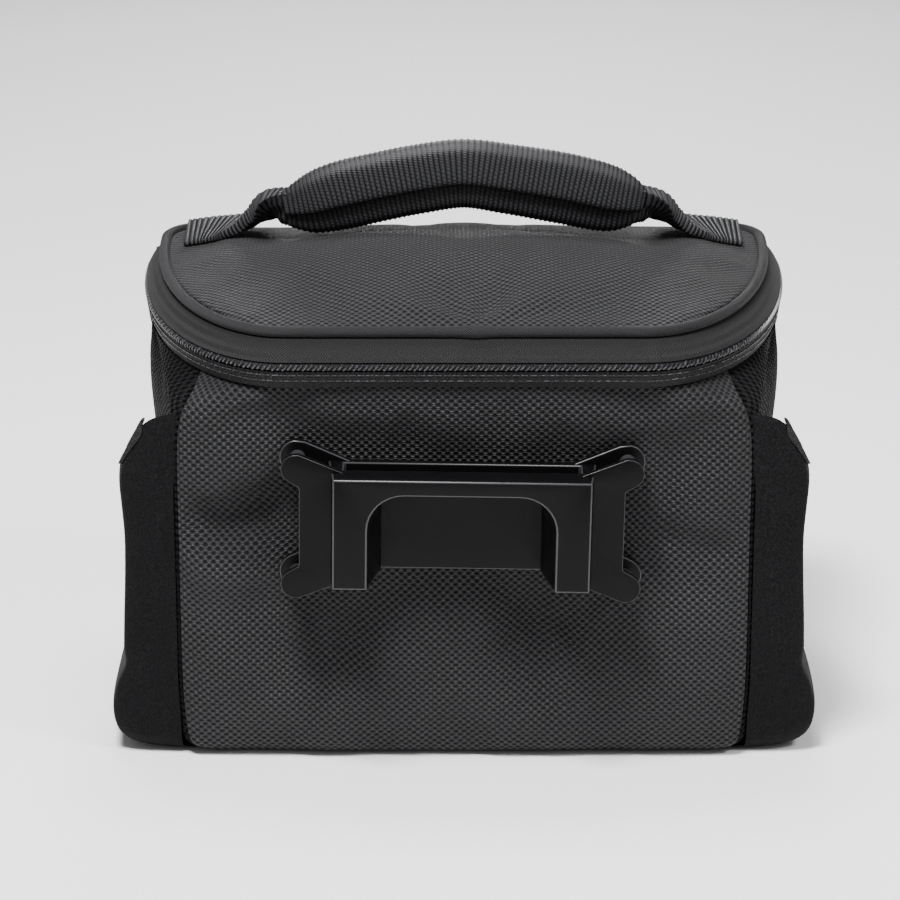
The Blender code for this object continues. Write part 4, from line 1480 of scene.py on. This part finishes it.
        def surface(s: float, t: float) -> Vector:
            """A flat, ribbed and turning skin round the strap's line."""
            want = s * total
            at, share = find_along(lengths, want)
            place = last * (at + share) / fine
            x, y, z, width, thick, turn = blend_rows(knots, place)
            ahead = Vector(blend_rows(knots, min(place + 0.08, last))[:3])
            behind = Vector(blend_rows(knots, max(place - 0.08, 0))[:3])
            run = (ahead - behind).normalized()
            run = run.lerp(grip_run, fade(place, last - 0.6, last)).normalized()
            level = Vector((0, 1, 0))
            across = (level - run * level.dot(run)).normalized()
            across = Matrix.Rotation(math.radians(-turn), 3, run) @ across
            up = across.cross(run) * -1
            a, b = outline[round(t * around) % around]
            rib = self.ribs(want)
            wide = self.web_width * width / 2
            deep = self.web_thickness * thick / 2
            fold = 0.7 * MM * math.sin(a * 7.0 + 1.0) * fade(place, 2.2, 4.0)
            lift = b * (deep + rib) + fold * (1 - abs(a))
            spot = Vector((x, y, z)) + across * (a * (wide + 0.4 * rib)) + up * lift
            return Vector((side.value * -spot.x, spot.y, spot.z))

        size = (total, 2 * self.web_width)
        piece = mapped_grid(f"webbing_strap_{side.word}", columns, around, surface, size, tube=True)
        smooth(piece, 70)
        return settle(piece, self.finish.webbing, "webbing", f"handle_strap_{side.word}")

    @staticmethod
    def flat_outline(parts: int) -> list[tuple[float, float]]:
        """Corners round a flat strap with rounded edges, as shares of its half width and half thickness."""
        top = [(-0.94 + 1.88 * i / parts, 1.0) for i in range(parts + 1)]
        right = [(0.985, 0.7), (1.0, 0.0), (0.985, -0.7)]
        bottom = [(a, -1.0) for a, _ in reversed(top)]
        left = [(-0.985, -0.7), (-1.0, 0.0), (-0.985, 0.7)]
        return top + right + bottom + left


@dataclass
class MouldedPlate:
    """The moulded plate for the handlebar clamp: a U-shaped box on a lobed flange, four pins and a rear wall.

    It is modelled in its own frame, with X across, Y out of the panel and Z up from its middle.
    """

    finish: Wardrobe
    face: tuple[float, float] = (87 * MM, 39.5 * MM)
    standoff: float = 22 * MM
    draft: float = 2.2 * MM
    arch_width: float = 63.8 * MM
    arch_narrowing: float = 5 * MM
    arch_height: float = 34 * MM
    arch_radius: float = 12.5 * MM
    lobe_spacing: tuple[float, float] = (112 * MM, 41.5 * MM)
    lobe_radius: float = 5.2 * MM
    rear_disc_radius: float = 6.2 * MM
    pin_radius: float = 2.8 * MM
    flange: tuple[float, float] = (12.6 * MM, 15 * MM)
    rear_wall: float = 2.6 * MM
    slot: tuple[float, float, float] = (80 * MM, 7.6 * MM, 5.2 * MM)
    centre: tuple[float, float] = (-1 * MM, 91.6 * MM)
    roll: float = math.radians(0.9)
    edge: float = 0.55 * MM
    rim: float = 0.4 * MM

    def build(self) -> bpy.types.Object:
        """Makes the parts, joins them and turns them into place on the panel."""
        rear = self.lobed_part("rear", self.rear_disc_radius, GAP, GAP + self.rear_wall)
        parts = [self.box_part(), self.flange_part(), self.soften(rear, self.rim)]
        for x in (-1, 1):
            for z in (-1, 1):
                parts.append(self.pin(x * self.lobe_spacing[0] / 2, z * self.lobe_spacing[1] / 2))
        only(*parts)
        bpy.ops.object.join()
        piece = parts[0]
        piece.name = "clamp_plate"
        near = box("mount_plate")[0].y + self.standoff
        turn = Matrix.Rotation(self.roll, 4, "Y") @ Matrix.Rotation(math.pi, 4, "Z")
        piece.data.transform(Matrix.Translation((self.centre[0], near, self.centre[1])) @ turn)
        smooth(piece, 35)
        faces = [polygon.material_index for polygon in piece.data.polygons]
        settle(piece, self.finish.moulded, "moulded", "mount_plate")
        # The second material paints highlights on the rounded edges.
        piece.data.materials.append(self.finish.worn_edge)
        piece.data.polygons.foreach_set("material_index", faces)
        return piece

    def prism(self, name: str, front: Sequence[tuple[float, float]], rear: Sequence[tuple[float, float]],
              low: float, high: float) -> bpy.types.Object:
        """A closed solid between a rear and a front outline of the same number of corners.

        Args:
            name: The part's name.
            front: Corners at the front, as X and Z.
            rear: Corners at the rear.
            low: Distance of the rear from the panel.
            high: Distance of the front.

        Returns:
            The part.
        """
        count = len(front)
        part = primitive(bpy.ops.mesh.primitive_cylinder_add, vertices=count, radius=1, depth=2,
                         end_fill_type="NGON")
        part.name = name
        corners = part.data.vertices
        places = sorted({round(math.atan2(v.co.y, v.co.x), 4) for v in corners})
        for vertex in corners:
            number = places.index(round(math.atan2(vertex.co.y, vertex.co.x), 4))
            x, z = (front if vertex.co.z > 0 else rear)[number]
            vertex.co = (x, high if vertex.co.z > 0 else low, z)
        mend(part)
        return part

    @staticmethod
    def cut(part: bpy.types.Object, cutter: bpy.types.Object) -> None:
        """Cuts one solid out of a part, and removes the cutter."""
        apply_modifier(part, "BOOLEAN", object=cutter, operation="DIFFERENCE", solver="EXACT")
        bpy.data.objects.remove(cutter, do_unlink=True)

    def soften(self, part: bpy.types.Object, width: float) -> bpy.types.Object:
        """Rounds a part's edges; the rounding takes the lighter edge finish, a painted highlight."""
        part.data.materials.clear()
        part.data.materials.append(self.finish.moulded)
        part.data.materials.append(self.finish.worn_edge)
        apply_modifier(part, "BEVEL", width=width, segments=3, limit_method="ANGLE",
                       angle_limit=math.radians(32), material=1)
        return part

    def arch(self, half: float, bottom: float) -> list[tuple[float, float]]:
        """Corners of the arch.

        Args:
            half: Half of the arch's width.
            bottom: Height of the feet.

        Returns:
            The arch's corners, from its left foot to its right foot.
        """
        radius = self.arch_radius
        side = half - radius
        rise = self.arch_height - self.face[1] / 2 - radius
        points = [(-half, bottom)]
        for middle, start in ((-side, math.pi), (side, math.pi / 2)):
            for i in range(9):
                angle = start - math.pi / 2 * i / 8
                points.append((middle + radius * math.cos(angle), rise + radius * math.sin(angle)))
        points.append((half, bottom))
        return points

    def box_part(self) -> bpy.types.Object:
        """The U-shaped box with its drafted sides and arch, and the slot along its top."""
        half_x = self.face[0] / 2
        half_z = self.face[1] / 2
        outlines = []
        for widen, narrow in ((0.0, 0.0), (self.draft, self.arch_narrowing)):
            outer = half_x + widen
            inner = self.arch(self.arch_width / 2 - narrow, -half_z)
            outlines.append([(outer, -half_z), (outer, half_z), (-outer, half_z), (-outer, -half_z)] + inner)
        part = self.prism("box", outlines[0], outlines[1], GAP + 0.4 * MM, self.standoff)
        length, width, depth = self.slot
        low = GAP + self.rear_wall + 1.2 * MM
        cutter = primitive(bpy.ops.mesh.primitive_cube_add, size=1, location=(0, low + width / 2, half_z),
                           scale=(length, width, 2 * depth))
        self.cut(part, cutter)
        return self.soften(part, self.edge)

    def lobed_part(self, name: str, radius: float, low: float, high: float) -> bpy.types.Object:
        """A plate whose corners run in soft curves into round lobes.

        Args:
            name: The part's name.
            radius: Radius of the lobes.
            low: Distance of its rear from the panel.
            high: Distance of its front.

        Returns:
            The part.
        """
        half_x = self.lobe_spacing[0] / 2
        half_z = self.lobe_spacing[1] / 2
        blend = 2.4 * MM

        def outside(x: float, z: float) -> float:
            """Distance outside the joined rectangle and lobes, with soft inner corners."""
            over_x = abs(x) - half_x + 1 * MM
            over_z = abs(z) - self.face[1] / 2 + 0.6 * MM
            plate = math.hypot(max(over_x, 0), max(over_z, 0)) + min(max(over_x, over_z), 0)
            lobe = math.hypot(abs(x) - half_x, abs(z) - half_z) - radius
            share = min(max(0.5 + 0.5 * (lobe - plate) / blend, 0), 1)
            return lobe * (1 - share) + plate * share - blend * share * (1 - share)

        outline = []
        steps = 240
        for i in range(steps):
            angle = 2 * math.pi * i / steps
            run = Vector((math.cos(angle) * 1.0, math.sin(angle) * 0.40)).normalized()
            reach = 75 * MM
            while outside(run.x * reach, run.y * reach) > 0:
                reach -= 0.05 * MM
            outline.append((run.x * reach, run.y * reach))
        return self.prism(name, outline, outline, low, high)

    def flange_part(self) -> bpy.types.Object:
        """The lobed flange, open where the arch passes through it."""
        part = self.lobed_part("flange", self.lobe_radius, *self.flange)
        hidden = 1 * MM
        opening = self.arch(self.arch_width / 2 - hidden, -self.face[1])
        cutter = self.prism("cutter", opening, opening, self.flange[0] - hidden, self.flange[1] + hidden)
        self.cut(part, cutter)
        return self.soften(part, self.rim)

    def pin(self, x: float, z: float) -> bpy.types.Object:
        """A round pin between a lobe and its rear disc."""
        low = GAP + 1 * MM
        high = self.flange[1] - 0.5 * MM
        pin = primitive(bpy.ops.mesh.primitive_cylinder_add, vertices=24, radius=self.pin_radius,
                        depth=high - low, location=(x, (low + high) / 2, z), rotation=(math.pi / 2, 0, 0))
        bpy.ops.object.transform_apply(location=True, rotation=True, scale=True)
        return pin


class Softbox(NamedTuple):
    """A soft light: its name, where it hangs, its width and height, and its power in watts."""

    name: str
    place: tuple[float, float, float]
    size: tuple[float, float]
    power: float


@dataclass
class Studio:
    """A white paper floor, soft lights and the camera at the photo's angle."""

    elevation: float = math.radians(20)
    distance: float = 1.2
    focal: float = 134.1
    target: tuple[float, float, float] = (-4.92 * MM, 0.0, 94.1 * MM)
    surround: float = 0.3
    softboxes: tuple[Softbox, ...] = (
        Softbox("top_softbox", (-0.05, 0.30, 1.15), (0.5, 0.3), 9),
        Softbox("back_strip", (0.02, 1.25, 0.66), (0.30, 0.12), 5),
        Softbox("key_softbox", (-0.20, -0.42, 1.25), (0.30, 0.30), 34),
        Softbox("fill_softbox", (0.75, -0.5, 1.0), (0.32, 0.32), 9),
    )

    def build(self) -> None:
        """Sets up the floor, the world, the lights and the camera."""
        self.floor()
        self.world()
        for softbox in self.softboxes:
            self.light(softbox)
        self.camera()

    def floor(self) -> None:
        """A wide, flat sheet of paper under the bag."""
        paper = primitive(bpy.ops.mesh.primitive_plane_add, size=6, location=(0, 0, -0.2 * MM))
        paper.name = "studio_floor"
        paper.data.materials.append(PaperFloor().material())

    def world(self) -> None:
        """A white surround, so that the background and the soft fill are white."""
        world = bpy.data.worlds.new("white_surround")
        bpy.context.scene.world = world
        world.use_nodes = True
        background = world.node_tree.nodes["Background"]
        background.inputs["Color"].default_value = (1, 1, 1, 1)
        background.inputs["Strength"].default_value = self.surround

    def light(self, softbox: Softbox) -> None:
        """Adds a soft light that points at the bag."""
        data = bpy.data.lights.new(softbox.name, "AREA")
        data.shape = "RECTANGLE"
        data.size, data.size_y = softbox.size
        data.energy = softbox.power
        lamp = bpy.data.objects.new(softbox.name, data)
        lamp.location = softbox.place
        aim = Vector((0, 0, 0.1)) - Vector(softbox.place)
        lamp.rotation_euler = aim.to_track_quat("-Z", "Y").to_euler()
        bpy.context.scene.collection.objects.link(lamp)

    def camera(self) -> None:
        """A long lens in front of the plate side."""
        data = bpy.data.cameras.new("photo_camera")
        data.lens = self.focal
        data.sensor_width = 36
        data.clip_start = 0.05
        lens = bpy.data.objects.new("photo_camera", data)
        target = Vector(self.target)
        away = Vector((0, -math.cos(self.elevation), math.sin(self.elevation)))
        lens.location = target + away * self.distance
        lens.rotation_euler = (-away).to_track_quat("-Z", "Y").to_euler()
        bpy.context.scene.collection.objects.link(lens)
        bpy.context.scene.camera = lens


def main() -> None:
    """Builds the studio and every piece, and reports them."""
    Studio().build()
    finish = Wardrobe.make()
    plan = LidPlan.from_frame()
    lid = Lid(finish, plan)
    PaddedBody(finish).build()
    for side in Side:
        SidePocket(finish, side).build()
    lid.build()
    Zip(finish, plan).build()
    Handle(finish, lid).build()
    MouldedPlate(finish).build()


if __name__ == "__main__":
    main()
